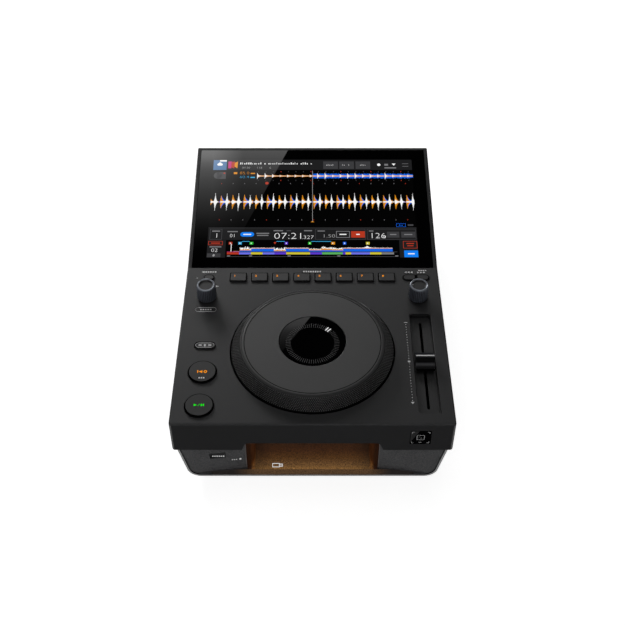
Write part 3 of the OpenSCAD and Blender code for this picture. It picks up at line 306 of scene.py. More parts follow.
def amberFinish(name, look):
    made = Finish(name)
    x, y, z = made.axes()
    climb = made.mapped(z, deckPoint(0, 0, look["low"]).z, deckPoint(0, 0, look["high"]).z)
    aside = made.maths("ABSOLUTE", x) * 1000
    inner, outer, least = look["fade"]
    middle = made.scaled(made.ramp(look["stops"], climb), made.mapped(aside, inner, outer, 1.0, least))
    side = made.ramp(look["sideStops"], climb)
    side = made.blend(made.clamped(aside, *look["streak"]), side, look["far"])
    share = made.clamped(aside, look["side"] - look["blur"], look["side"] + look["blur"])
    speck = made.noise(look["grain"], 3.0)
    glow = made.scaled(made.blend(share, middle, side), made.mapped(speck, *look["speck"]))
    return made.surface(Base_Color=made.blend(speck, look["dark"], look["light"]), Roughness=look["rough"],
                        Normal=made.bump(speck, look["depth"], look["relief"]), Emission_Color=glow,
                        Emission_Strength=1.0)


plain["amber"] = amberFinish("dj_amber_guide", amberLook)
# the same painted glow, as the bay's light spilling onto its lip and onto the floor in front
plain["strip"] = amberFinish("dj_amber_glow_spill", dict(
    amberLook, side=62.0, blur=14.0, fade=(60.0, 80.0, 1.0), streak=(70.0, 76.0), far=tone(36, 34, 33),
    stops=[(0.0, tone(80, 61, 44)), (1.0, tone(66, 50, 36))],
    sideStops=[(0.0, tone(38, 35, 33)), (1.0, tone(36, 34, 33))]))


def litFinish(name, rough, shine):  # its colours come from the piece's own attribute
    made = Finish(name)
    colour = made.node("ShaderNodeAttribute", {"attribute_name": "tint"}).part("Color")
    return made.surface(Base_Color=glassLook["colour"], Specular_IOR_Level=shine, IOR=glassLook["ior"],
                        Roughness=rough + glassLook["haze"] * made.noise(glassLook["smear"], 4.0),
                        Emission_Color=colour, Emission_Strength=1.0)


plain["picture"] = litFinish("dj_screen_picture", glassLook["rough"], 0.5)
plain["lamp"] = litFinish("dj_lit_mark", 0.5, 0.05)
print("finishes made:", len(plain))

wornBy = {
    "case": ["upper_case"], "tray": ["base_tray"], "panel": ["front_panel"], "trough": ["fader_trough"],
    "ring": ["jog_grip_ring"], "plate": ["jog_top_plate"], "pad": ["hot_cue_%d" % i for i in range(1, 9)],
    "button": ["back_button", "mode_button_left", "mode_button_right", "cue_button", "play_button"],
    "shift": ["shift_button", "usb_stop_button"], "knob": ["browse_knob", "adjust_knob"], "cap": ["fader_cap"],
    "black": ["jog_mount", "jog_sensor", "fader_carriage", "mains_inlet", "power_button", "browse_plunger"],
    "glass": ["screen_glass", "jog_window", "touch_window", "lcd_module", "jog_display"],
    # the fader's frame and rails are near black so that its slot reads dark, as painted shade
    "gap": ["fader_frame", "fader_rails"], "amber": ["bay_diffuser"], "steel": ["rear_panel", "power_supply"],
    "bright": ["front_usb_a", "jog_bearing", "encoder_disc", "browse_shaft", "adjust_shaft", "lan_port",
               "rear_usb_b", "case_screws", "browse_encoder", "adjust_encoder"],
    "alloy": ["jog_hub"], "gold": ["rca_jacks"], "mat": ["left_mat", "pad_mat"], "foot": ["feet"],
    "board": ["main_board", "left_board", "pad_board", "touch_board", "bay_lamp_board"],
}
for finish, names in wornBy.items():
    for name in names:
        slots = nodes[name].data.materials
        slots.clear()
        slots.append(plain[finish])
print("finishes put on; nodes left out:", sorted(set(nodes) - {n for names in wornBy.values() for n in names}))


# Flat shapes are lists of points, drawn anticlockwise so that they look outwards
def bar(x0, y0, x1, y1):
    return [(x0, y0), (x1, y0), (x1, y1), (x0, y1)]


def block(x, y, wide, long):  # a bar round its middle
    return bar(x - wide / 2, y - long / 2, x + wide / 2, y + long / 2)


def blockRow(x, y, wide, long, pitch, count):  # a row of small blocks, in place of a word
    return [bar(x + pitch * k, y, x + pitch * k + wide, y + long) for k in range(count)]


def arrow(x, y, long, half):  # from its base at x to its tip, to the left where long is negative
    return [(x, y - half), (x + long, y), (x, y + half)][::1 if long > 0 else -1]


def disc(x, y, radius, corners=20):
    return [(x + radius * cos(2 * pi * i / corners), y + radius * sin(2 * pi * i / corners))
            for i in range(corners)]


def outline(points, width):  # quads along a closed line
    made = []
    for i, (x0, y0) in enumerate(points):
        x1, y1 = points[(i + 1) % len(points)]
        long = hypot(x1 - x0, y1 - y0) or 1
        ax, ay = (x1 - x0) / long * width / 2, (y1 - y0) / long * width / 2
        made.append([(x0 - ax + ay, y0 - ay - ax), (x1 + ax + ay, y1 + ay - ax),
                     (x1 + ax - ay, y1 + ay + ax), (x0 - ax - ay, y0 - ay + ax)])
    return made


def pill(x0, y0, x1, y1, corners=10):
    r = (y1 - y0) / 2
    right = [(x1 - r + r * cos(a), (y0 + y1) / 2 + r * sin(a))
             for a in (pi * (i / corners - 0.5) for i in range(corners + 1))]
    return right + [(x0 + x1 - x, y0 + y1 - y) for x, y in right]


def doubleArea(shape):
    return sum(a[0] * b[1] - b[0] * a[1] for a, b in zip(shape, shape[1:] + shape[:1]))


def added(name, data):
    made = bpy.data.objects.new(name, data)
    bpy.context.scene.collection.objects.link(made)
    return made


def evaluatedMesh(holder):
    return bpy.data.meshes.new_from_object(holder.evaluated_get(bpy.context.evaluated_depsgraph_get()))


def figures(text, x, y, height, stretch=1.0, thin=0.0):  # plain numerals, as polygons
    curve = bpy.data.curves.new("figures", "FONT")
    curve.body, curve.size, curve.resolution_u, curve.offset = text, 1.0, 3, -thin
    holder = added("figures", curve)
    mesh = evaluatedMesh(holder)
    scale = height / max(v.co.y for v in mesh.vertices)
    made = [[(x + mesh.vertices[i].co.x * scale * stretch, y + mesh.vertices[i].co.y * scale)
             for i in p.vertices] for p in mesh.polygons]
    bpy.data.objects.remove(holder)
    bpy.data.meshes.remove(mesh)
    bpy.data.curves.remove(curve)
    return made


def dressed(name, mesh, finish, bodyName):  # a mesh becomes a piece that rides a body
    if not mesh.materials:
        mesh.materials.append(plain[finish])
    piece = added(name, mesh)
    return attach(piece, bodyName)


def tintedPiece(name, faces, finish, bodyName):  # faces are (points of the row frame, tint)
    points, rows = [], []
    for corners, tint in faces:
        rows.append(list(range(len(points), len(points) + len(corners))))
        points += corners
    mesh = bpy.data.meshes.new(name)
    mesh.from_pydata(points, [], rows)
    colours = mesh.color_attributes.new("tint", "FLOAT_COLOR", "CORNER")
    colours.data.foreach_set("color", [c for corners, tint in faces for c in tint * len(corners)])
    mesh.update()
    return dressed(name, mesh, finish, bodyName)


white, amberInk, greenInk = tone(225, 225, 225), tone(250, 150, 16), tone(6, 245, 4)


def flatPiece(name, shapes, place, finish, bodyName, slot, tint=white):
    # place turns a point of a flat shape into one of the row frame
    faces = [([place(*p) for p in shape], tint) for shape in shapes if abs(doubleArea(shape)) >= 1e-9]
    return tintedPiece(name, faces, finish, bodyName)


# The picture on the screen, in dots from its top left corner: 1280 across and 800 down
screenPicture = {
    "dots": (1280, 800), "width": 220.8, "bottom": 13.4, "top": 151.0, "lift": 0.05, "layer": 0.008,
    "seed": 4, "time": "07:21", "rate": "126", "deck": "1", "line": 3,
    "title": (174, 27, 650, 43), "titlePitch": 13, "readouts": ((186, "04:30"), (281, "118"), (362, "6")),
    # the short waveform: its middle, where it starts, its beat and where the blue part starts
    "short": {"middle": 143, "from": 286, "beat": 48, "blueFrom": 640, "orange": (4, 12),
              "white": (1, 21), "blue": (13, 9), "ticks": ((102, 110), (176, 184))},
    "long": {"middle": 360, "height": 66, "beat": 73.0, "from": 27, "ticks": ((203, 211), (502, 510))},
    # the track: from, to, then the heights of blue, orange and white
    "track": [(160, 197, 1, 2, 0), (197, 266, 8, 10, 16), (406, 478, 3, 10, 16), (617, 694, 9, 8, 7),
              (694, 760, 11, 13, 15), (760, 826, 9, 10, 12)],
    "trackElse": (22, 5, 3), "trackFoot": 754, "peak": (16, 971, 12),
    "cues": ((130, 151, "red"), (188, 209, "cyan"), (257, 279, "green"), (471, 490, "purple"),
             (614, 632, "green"), (754, 777, "orange"), (826, 845, "blue"), (966, 988, "yellow")),
    "phrases": (("red", 122), ("violet", 196), ("yellow", 267), ("violet", 338), ("purple", 410),
                ("yellow", 481), ("purple", 625), ("leaf", 698), ("purple", 823), ("yellow", 840),
                ("violet", 874), ("yellow", 988), ("grey", 1057), ("", 1133)),
}
# a shape with a higher level covers those with lower ones
levels = {"back": 0, "bar": 1, "key": 2, "dim": 2, "sky": 2, "blue": 3, "soft": 5, "grey": 5, "white": 5, "line": 6}
inks = {"soft": tone(175, 175, 175), "line": tone(170, 170, 170), "back": tone(10, 10, 10), "bar": tone(36, 36, 37),
        "key": tone(62, 62, 64), "white": tone(245, 245, 245), "grey": tone(120, 120, 122), "dim": tone(70, 70, 72),
        "blue": tone(28, 100, 225), "azure": tone(25, 125, 240), "orange": tone(218, 140, 32),
        "red": tone(176, 58, 38), "cyan": tone(60, 165, 215), "green": tone(50, 190, 60),
        "purple": tone(90, 60, 200), "yellow": tone(205, 190, 60), "violet": tone(105, 110, 225),
        "magenta": tone(190, 50, 120), "sky": tone(82, 118, 160), "leaf": tone(90, 170, 95)}


picture, dice = [], random.Random(screenPicture["seed"])
wide, high = screenPicture["dots"]


def add(ink, *shapes):
    picture.extend((shape, inks[ink], levels.get(ink, 4)) for shape in shapes)


def boxes(*rows):  # each an ink and four edges
    for ink, *edges in rows:
        add(ink, bar(*edges))


def framed(ink, edges, width=3):
    add(ink, *outline(bar(*edges), width))


def number(ink, text, x, y0, y1, stretch=1.0):
    figure = figures(text, x, y1, y1 - y0, stretch, 0.022)
    add(ink, *[[(px, 2 * y1 - py) for px, py in shape] for shape in figure])


def words(ink, x0, y0, x1, y1, pitch):  # blocks that stand in for a line of lettering
    while x0 + pitch < x1:
        if dice.random() > 0.16:
            top = y0 + (y1 - y0) * dice.choice((0, 0.35, 0.35))
            boxes((ink, x0, top, x0 + pitch * dice.uniform(0.25, 0.6), y1))
        x0 += pitch


def stroke(ink, x, middle, half, width):  # one upright stroke of a waveform
    boxes((ink, x, middle - half, x + width, middle + half))


def header():
    boxes(("back", 0, 0, wide, high), ("bar", 0, 2, wide, 91), ("sky", 2, 6, 87, 91),
          ("white", 42, 6, 86, 18))
    add("white", pill(26, 34, 62, 54), disc(44, 36, 10))
    for i, ink in enumerate(("magenta", "red", "orange")):
        add(ink, [(97 + 20 * i, 18 + 6 * i), (121 + 19 * i, 18), (117 + 20 * i, 77),
                  (97 + 20 * i, 77 - 8 * i)])
    words("white", *screenPicture["title"], screenPicture["titlePitch"])
    for x, text in screenPicture["readouts"]:
        number("soft", text, x, 64, 80)
    for x in (709, 812, 917):
        boxes(("key", x, 17, x + 95, 82))
        words("soft", x + 20, 42, x + 78, 54, 10)
    add("white", disc(1067, 46, 11))
    boxes(("grey", 1103, 38, 1127, 54))
    add("white", [(1151, 36), (1175, 36), (1163, 54)])
    boxes(("grey", 1103, 68, 1178, 78), ("grey", 1218, 36, 1257, 39), ("grey", 1218, 58, 1257, 61))


def shortWave(look):
    add("dim", pill(8, 109, 60, 168))
    boxes(("dim", 34, 109, 86, 168))
    add("red", disc(76, 119, 6))
    boxes(("orange", 136, 110, 158, 127))
    number("orange", "85.0", 174, 107, 128, 1.15)
    number("cyan", "60.4", 174, 140, 161, 1.15)
    boxes(("orange", 244, 116, 272, 126), ("cyan", 244, 150, 272, 160))
    middle, loud, step = look["middle"], 1.0, 3
    for x in range(look["from"], wide, step):
        since = (x - look["from"]) % look["beat"]
        loud = dice.uniform(0.45, 1.15) if since < step else loud
        puff = loud * exp(-since / 11)
        swells = {"blue": dice.random()} if x > look["blueFrom"] else {}
        swells.update(orange=puff, white=puff * puff)
        for ink, swell in swells.items():
            stroke(ink, x, middle, look[ink][0] + look[ink][1] * swell, step)
    for i, x in enumerate(range(look["from"] + 6, wide, look["beat"])):
        boxes(*[("red" if i % 4 == 3 else "dim", x, top, x + 4, foot) for top, foot in look["ticks"]])


def longWave(look):  # on each beat a white stroke, then an orange one with a blue one behind it
    middle, height = look["middle"], look["height"]
    for i in range(-1, 19):
        start, odd = look["from"] + look["beat"] * i, i % 2
        second = start + 36
        loud = dice.uniform(0.88, 1.08)
        for step in range(-3, 46, 2):
            if not 0 < second + step < wide - 2:
                continue
            rise = min(1, (step + 4) / 6)
            tall = {"blue": 0.9 * exp(-step / 15) if not odd else 0.6 * exp(-step / 12),
                    "orange": loud * exp(-max(step - 1, 0) / (8 if not odd else 9)),
                    "white": 0.05 if not odd else 0.34 * exp(-step / 11)}
            for ink, share in tall.items():
                stroke(ink, second + step, middle, height * share * rise + 2, 2)
        loud = dice.uniform(0.85, 1.1)
        for step in range(-9, 22, 2):
            if not 0 < start + step < wide - 2:
                continue
            tall = height * loud * exp(-abs(step - 1) / (4 if step < 1 else 5.5))
            stroke("white", start + step, middle, tall, 2)
            knob = height * 0.24 * exp(-((step - 15) / 6) ** 2) if odd else 0
            stroke("orange", start + step, middle, knob, 2)
        for step in range(0, int(look["beat"]), 4):
            small = 2 + 3 * dice.random()
            if 0 <= start + step < wide - 4:
                stroke(dice.choice(("white", "orange", "blue")), start + step, middle, small, 4)
        if 0 < second < wide - 5:
            boxes(*[("red" if i % 4 == 0 else "grey", second - 2, top, second + 1, foot)
                    for top, foot in look["ticks"]])
    add("red", disc(350, 204, 11))
    boxes(("line", 639, 98, 641, 519))
    add("orange", [(629, 524), (651, 524), (640, 514)])
    framed("blue", (1158, 535, 1214, 560), 2)
    words("blue", 1166, 542, 1210, 553, 9)
    boxes(("dim", 1228, 541, 1262, 554))


def readouts(look):
    boxes(("bar", 0, 570, wide, 664), ("key", 0, 568, wide, 571))
    framed("dim", (12, 580, 84, 660))
    boxes(("grey", 24, 591, 72, 600))
    number("white", look["deck"], 40, 612, 648)
    boxes(("grey", 118, 595, 181, 603))
    number("white", "01", 133, 618, 643)
    add("azure", pill(198, 603, 282, 639))
    boxes(("white", 216, 617, 264, 625), ("grey", 296, 609, 374, 617), ("grey", 300, 625, 370, 633),
          ("grey", 401, 588, 458, 596), ("dim", 480, 588, 508, 596), ("grey", 588, 588, 637, 596))
    number("white", look["time"], 402, 610, 656, 1.22)
    number("white", ".327", 572, 630, 656, 1.15)
    framed("key", (658, 580, 963, 661))
    boxes(("grey", 671, 591, 716, 598))
    number("soft", "1.50", 700, 621, 646, 1.25)
    framed("grey", (787, 597, 867, 645), 4)
    boxes(("white", 806, 617, 848, 625), ("red", 877, 596, 961, 646), ("white", 908, 617, 930, 625))
    framed("key", (976, 580, 1273, 661))
    boxes(("grey", 986, 591, 1014, 598))
    number("white", look["rate"], 988, 611, 651, 1.15)
    number("white", "0", 1072, 630, 651, 1.2)
    for x0, x1 in ((1097, 1172), (1184, 1270)):
        boxes(("key", x0, 600, x1, 646), ("grey", x0 + 18, 618, x1 - 18, 626))


def overview(look):
    boxes(("bar", 0, 666, 112, high), ("bar", 1168, 666, wide, high))
    framed("red", (7, 675, 91, 703))
    boxes(("red", 22, 685, 76, 693), ("grey", 14, 714, 86, 722))
    number("white", "02", 24, 731, 757, 1.1)
    boxes(("key", 2, 768, 84, 797))
    number("white", "8", 36, 774, 791)
    for x0, x1, ink in look["cues"]:
        boxes((ink, x0, 680, x1, 700), ("white", x0 + 7, 686, x0 + 12, 695))
    add("red", [(403, 681), (420, 681), (411, 698)])
    boxes(*[("cyan", x0, 674, x1, 678) for x0, x1 in ((209, 257), (420, 471), (632, 754))])
    tall, peakAt, peakWide = look["peak"]
    for x in range(160, 1124, 3):
        blue, orange, light = look["trackElse"]
        for x0, x1, *heights in look["track"]:
            if x0 <= x < x1:
                blue, orange, light = heights
        rough = dice.random() ** 2
        low = look["trackFoot"] - blue
        middle = low - orange * (0.6 + 0.6 * dice.random())
        top = middle - light * (0.3 + rough) - tall * exp(-abs(x - peakAt) / peakWide)
        boxes(("blue", x, low, x + 3, look["trackFoot"]), ("orange", x, middle, x + 3, low),
              ("white", x, top, x + 3, middle))
    boxes(("white", 144, 695, 148, 754), ("magenta", 122, 755, 196, 758), ("dim", 196, 755, 1154, 758))
    phrases = look["phrases"]
    boxes(*[(ink, x0, 760, x1, 776) for (ink, x0), (_, x1) in zip(phrases, phrases[1:])])
    boxes(("dim", 122, 791, 1154, 794))
    boxes(*[("grey", x, 784, x + 18, 791) for x in (124, 257, 490, 790, 1140)])
    framed("red", (1193, 675, 1276, 728))
    boxes(("red", 1212, 688, 1258, 696), ("red", 1216, 706, 1254, 713), ("azure", 1195, 746, 1279, 797),
          ("white", 1217, 767, 1258, 775))


def onScreen(x, y, layer):
    look = screenPicture
    along = look["top"] - y / high * (look["top"] - look["bottom"])
    return screenPoint((x - wide / 2) * look["width"] / wide, along, look["lift"] + layer)


header()
shortWave(screenPicture["short"])
longWave(screenPicture["long"])
readouts(screenPicture)
overview(screenPicture)
pictureFaces = []
for shape, tint, level in picture:
    shape = shape[::-1] if doubleArea(shape) > 0 else shape  # rows run down, so this turns the face outwards
    pictureFaces.append(([onScreen(x, y, level * screenPicture["layer"]) for x, y in shape], tint))
tintedPiece("screen_picture", pictureFaces, "picture", "case")
print("screen picture:", len(pictureFaces), "shapes")


# Prints and marks; the shapes are in millimetres from "at", on a face that stands "proud" of the deck
printLift = 0.03  # how far a print stands before its face


def onDeck(lift, atX=0.0, atY=0.0):
    return lambda x, y: deckPoint(atX + x, atY + y, lift)


def onFront(deep, atX=0.0, atZ=0.0):  # upright, deep millimetres behind the fascia
    return lambda x, z: deckPoint(atX + x, deep, atZ + z)


onShell = ("case", "case_grey")
cue, play = ((name + "_button_key", "button_plastic") for name in ("cue", "play"))
deckMarks = {
    # the pill round a word, words as rows of blocks, arrows, and the fader's end marks
    "deck_print": {"proud": 0.0, "at": (0.0, 0.0), "wear": ("print", *onShell), "shapes": [
        bar(89.5, 125.65, 92.9, 126.35), disc(91.2, 75.2, 1.25), [(89.5, 26.0), (91.2, 23.6), (92.9, 26.0)],
        *outline(pill(-116.1, 141.0, -95.4, 146.6), 0.6), *blockRow(-111.4, 142.9, 1.6, 1.8, 2.4, 5),
        *blockRow(-110.2, 197.0, 1.7, 1.9, 2.4, 5), *blockRow(109.0, 199.4, 1.5, 1.5, 2.2, 4),
        *blockRow(-9.6, 197.5, 1.6, 2.1, 2.4, 8), bar(-118.6, 188.6, -117.2, 189.1), arrow(-111.0, 197.9, -3.0, 1.4),
        arrow(-98.0, 176.8, 3.2, 1.2), *[arrow(x, 197.2, 2.4, 1.2) for x in (107.6, 110.6, 113.6)],
        *[arrow(x, 197.5, -2.4, 1.2) for x in (96.8, 99.8, 102.8)]]},
    # dark lines of painted shade along the trough's edges
    "trough_line": {"proud": 0.0, "at": (105.8, 75.0), "wear": ("gap", *onShell), "shapes": [
        bar(-10.5, -42.45, -10.1, 62.45), bar(10.1, -62.45, 10.5, 62.45), bar(-10.5, 62.25, 10.5, 62.65)]},
    # a painted highlight along the trough's right edge
    "trough_light": {"proud": 0.0, "at": (105.8, 75.0), "wear": ("padEdge", *onShell), "shapes": [
        bar(10.65, -6.0, 11.0, 62.45)]},
    "cue_mark": {"proud": 1.8, "at": (-103.0, 61.0), "wear": ("lamp", *cue, amberInk), "shapes": [
        bar(-4.6, -1.6, -3.7, 1.6), arrow(0.2, 0.0, -3.5, 1.6), *outline(disc(3.0, 0.0, 1.25, 16), 0.7)]},
    "cue_small_mark": {"proud": 1.8, "at": (-103.0, 61.0), "wear": ("print", *cue), "shapes":
                       blockRow(-2.9, -8.4, 1.4, 1.6, 2.1, 3)},
    "play_mark": {"proud": 1.8, "at": (-103.0, 21.0), "wear": ("lamp", *play, greenInk), "shapes": [
        arrow(-4.6, 0.0, 3.0, 1.2), [(-1.1, -1.2), (-0.6, -1.2), (0.9, 1.2), (0.4, 1.2)],
        *blockRow(1.7, -1.2, 1.1, 2.4, 1.9, 2)]},
    "shift_mark": {"proud": 1.0, "at": (-103.0, 95.2), "wear": ("print", "shift_button_key", "button_plastic"),
                   "shapes": [*outline(pill(-8.8, -2.8, 8.8, 2.8), 0.5), *blockRow(-6.1, -0.7, 3.0, 1.4, 9.2, 2),
                              [(-1.6, -0.1), (1.6, -0.1), (0.0, 1.6)], bar(-0.7, -1.6, 0.7, -0.1)]},
    "fader_line": {"proud": 8.7, "at": (105.8, 75.0), "wear": ("print", "fader", "knob_plastic"), "shapes": [
        block(0.0, 0.0, 17.0, 1.35)]},
    "adjust_pointer": {"proud": 17.0, "at": (105.8, 161.6), "wear": ("greyPrint", "adjust", "knob_plastic"),
                       "shapes": [bar(-7.2, -0.4, -5.4, 0.4)]},
}


def printMarks(*names):
    for name in names:
        mark = deckMarks[name]
        flatPiece(name, mark["shapes"], onDeck(mark["proud"] + printLift, *mark["at"]), *mark["wear"])


# the pads: their figures, dark edges of painted shade, and lighter left and rear edges as painted highlights
padMarks = {"pitch": 21.65, "y": 189.2, "proud": 1.4, "size": (16.2, 10.9), "figure": (-4.6, 0.4, 2.5, 1.1, -0.03),
            "light": [bar(-7.6, -4.85, -7.2, 4.95), bar(-7.6, 4.6, 7.3, 4.95)]}
# dark outlines of painted shade round the pill keys
keyEdges = {"width": 0.9, "lift": 0.02, "proud": 1.0,
            "back_edge": ("back_button", pill(-110.75, 185.75, -100.85, 192.65)),
            "shift_edge": ("shift_button", pill(-112.7, 91.25, -93.3, 99.15)),
            "mode": (92.65, 185.75, 118.95, 192.65), "modeSplit": 105.8, "modeGap": 1.05}
printMarks("deck_print", "trough_line", "trough_light")
pads = [(i + 1, (i - 3.5) * padMarks["pitch"], ("hot_cue_%d_key" % (i + 1), "pad_rubber")) for i in range(8)]
for i, x, key in pads:
    flatPiece("pad_figure_%d" % i, figures(str(i), *padMarks["figure"]),
              onDeck(padMarks["proud"] + printLift, x, padMarks["y"]), "lamp", *key, amberInk)
printMarks("cue_mark", "cue_small_mark", "play_mark", "shift_mark")
for i, x, key in pads:
    onPad = onDeck(padMarks["proud"] + keyEdges["lift"], x, padMarks["y"])
    flatPiece("pad_edge_%d" % i, outline(block(0, 0, *padMarks["size"]), keyEdges["width"]), onPad, "gap", *key)
    flatPiece("pad_light_%d" % i, padMarks["light"], onPad, "padEdge", *key)
x0, y0, x1, y1 = keyEdges["mode"]
split, gap = keyEdges["modeSplit"], keyEdges["modeGap"]
left, right = ([p for p in pill(*keyEdges["mode"]) if (p[0] - split) * side > 0] for side in (-1, 1))
keyEdges["mode_left_edge"] = ("mode_button_left", [(split - gap, y0), (split - gap, y1)] + left)
keyEdges["mode_right_edge"] = ("mode_button_right", right + [(split + gap, y1), (split + gap, y0)])
for name in ("back_edge", "shift_edge", "mode_left_edge", "mode_right_edge"):
    key, points = keyEdges[name]
    flatPiece(name, outline(points, keyEdges["width"]), onDeck(keyEdges["proud"] + keyEdges["lift"]), "gap",
              key + "_key", "button_plastic")
printMarks("fader_line", "adjust_pointer")

# the sign on the touch window: four corners, a square, two arcs and a dash; then the window's glare, a painted
# reflection
touchMark = {"at": (98.0, -19.0), "half": 7.9, "arm": 2.0, "width": 0.45, "square": 6.6, "squareLine": 0.42,
             "arcs": (1.1, 2.3), "arcAt": (-1.4, -1.4), "arcLine": 0.38, "dash": (0.0, -6.95, 2.8, 0.5),
             "glare": [(-9.2, 9.2), (-9.2, -7.5), (-1.5, 9.2)], "glareLift": 0.01}
half, arm, width = (touchMark[k] for k in ("half", "arm", "width"))
touchShapes = outline(block(0, 0, touchMark["square"], touchMark["square"]), touchMark["squareLine"])
for sx in (-1, 1):
    for sz in (-1, 1):
        touchShapes += [block(sx * (half - arm / 2), sz * half, arm, width),
                        block(sx * half, sz * (half - arm / 2), width, arm)]
for radius in touchMark["arcs"]:
    arc = disc(*touchMark["arcAt"], radius, 24)[:7]
    touchShapes += outline(arc + arc[::-1], touchMark["arcLine"])[:6]
flatPiece("touch_mark", touchShapes + [block(*touchMark["dash"])], onFront(-printLift, *touchMark["at"]), "greyPrint",
          "case", "black_glass")
# the glare is a painted reflection
flatPiece("touch_glare", [touchMark["glare"]], onFront(-touchMark["glareLift"], *touchMark["at"]), "faintPrintAndGlare",
          "case", "black_glass")

# the slanting faces of the two blocks beside the bay, with the stop button in the left one
blockFace = {"front": 8.25, "inner": 62.0, "slope": 0.115, "edge": bar(62.1, -76.5, 62.8, -27.8)}
stopMark = {"word": (-93.9, -56.3, 1.3, 1.3, 2.0, 6), "bottom": -57.2, "lean": 2.4 / 7.4,
            "sign": (-75.9, -62.4, 1.2, 0.9, 1.9, 3), "dot": (-67.9, -61.8, 1.1, 12), "signLift": 0.04}
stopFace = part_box("usb_stop_button")[0].y * 1000 - frontFace


def onBlock(lift):
    return lambda x, z: deckPoint(
        x, blockFace["front"] - (abs(x) - blockFace["inner"]) * blockFace["slope"] - lift, z)


def onStop(x, z):
    return deckPoint(x, stopFace + (z - stopMark["bottom"]) * stopMark["lean"] - printLift, z)


flatPiece("stop_mark", blockRow(*stopMark["word"]), onStop, "print", "stop", "button_plastic")
flatPiece("stop_sign", blockRow(*stopMark["sign"]) + [disc(*stopMark["dot"])], onBlock(stopMark["signLift"]),
          "print", "case", "panel_black")

# a memory stick on the ramp, its print glowing as painted light, and the painted glow of the bay's light on its lip
# and on the floor in front of it
bayLook = {"slope": 25.0, "front": 7.2, "foot": -77.7, "lift": 0.05, "at": (-33.4, 10.6), "lipDeep": 1.98,
           "stick": outline(bar(-4.6, -1.5, 1.8, 1.5), 0.55) + outline(bar(1.8, -1.0, 4.8, 1.0), 0.5) + [
               bar(2.9, -0.45, 3.7, -0.1), bar(2.9, 0.15, 3.7, 0.5)],
           "lip": bar(-94.0, -79.1, 94.0, -77.7), "strip": bar(-96.0, 2.1, 96.0, 7.1)}


def onRamp(x, y):
    x, y = x + bayLook["at"][0], y + bayLook["at"][1]
    z = bayLook["foot"] + (y - bayLook["front"]) * tan(radians(bayLook["slope"]))
    return deckPoint(x, y, z + bayLook["lift"])


flatPiece("stick_mark", bayLook["stick"], onRamp, "lamp", "case", "amber_guide")
flatPiece("bay_lip_glow", [bayLook["lip"]], onFront(bayLook["lipDeep"]), "strip", "case", "amber_guide")
flatPiece("bay_floor_glow", [bayLook["strip"]], onDeck(bayLook["foot"] + printLift), "strip", "case", "amber_guide")

# outline of the tray's open front: the seam, the sloping side, the round corner and the floor; its lighter grey is a
# painted highlight along the rim
rimLook = {"top": -38.2, "neck": -37.6, "topHalf": 125.2, "taper": 12.0, "radius": 13.0, "floor": -81.5,
           "insets": (0.05, 1.9), "steps": 16, "deep": 1.97}
bend = radians(rimLook["taper"])
midZ = rimLook["floor"] + rimLook["radius"]
midX = rimLook["topHalf"] - (rimLook["radius"] + (rimLook["neck"] - midZ) * sin(bend)) / cos(bend)
rimLines = []
for inset in rimLook["insets"]:
    r = rimLook["radius"] - inset
    side = rimLook["topHalf"] - inset / cos(bend) + (rimLook["top"] - rimLook["neck"]) * tan(bend)
    turns = [-bend - (pi / 2 - bend) * k / rimLook["steps"] for k in range(rimLook["steps"] + 1)]
    line = [(side, rimLook["top"])] + [(midX + r * cos(t), midZ + r * sin(t)) for t in turns]
    rimLines.append(line + [(-x, z) for x, z in line[::-1]])
outer, inner = rimLines
flatPiece("tray_rim_highlight", [[c, d, b, a] for a, b, c, d in zip(outer, outer[1:], inner, inner[1:])],
          onFront(rimLook["deep"]), "trayRimHighlight", "case", "tray_grey")

# a painted highlight on the rounded front corners of the shell, where they turn to the light from the sides
cornerLook = {"half": 129.0, "radius": 3.0, "turns": (194, 254), "steps": 6, "top": -2.2, "bottom": -36.6,
              "lift": 0.03}


def onCorner(side):
    r = cornerLook["radius"] + cornerLook["lift"]
    return lambda turn, z: deckPoint(side * (cornerLook["half"] - cornerLook["radius"] - r * cos(turn)),
                                     cornerLook["radius"] + r * sin(turn), z)


first, last = (radians(a) for a in cornerLook["turns"])
turns = [first + (last - first) * k / cornerLook["steps"] for k in range(cornerLook["steps"] + 1)]
for side, name in ((-1, "left"), (1, "right")):
    corners = [bar(a, cornerLook["bottom"], b, cornerLook["top"])[::-side] for a, b in zip(turns, turns[1:])]
    flatPiece("corner_light_" + name, corners, onCorner(side), "cornerHighlight", *onShell)
# a painted highlight along the inner edge of each block beside the bay
for side, name in ((-1, "left"), (1, "right")):
    flatPiece("block_edge_highlight_" + name, [[(side * x, z) for x, z in blockFace["edge"]][::side]], onBlock(printLift),
              "blockEdgeHighlight", "case", "panel_black")
print("prints and marks made")


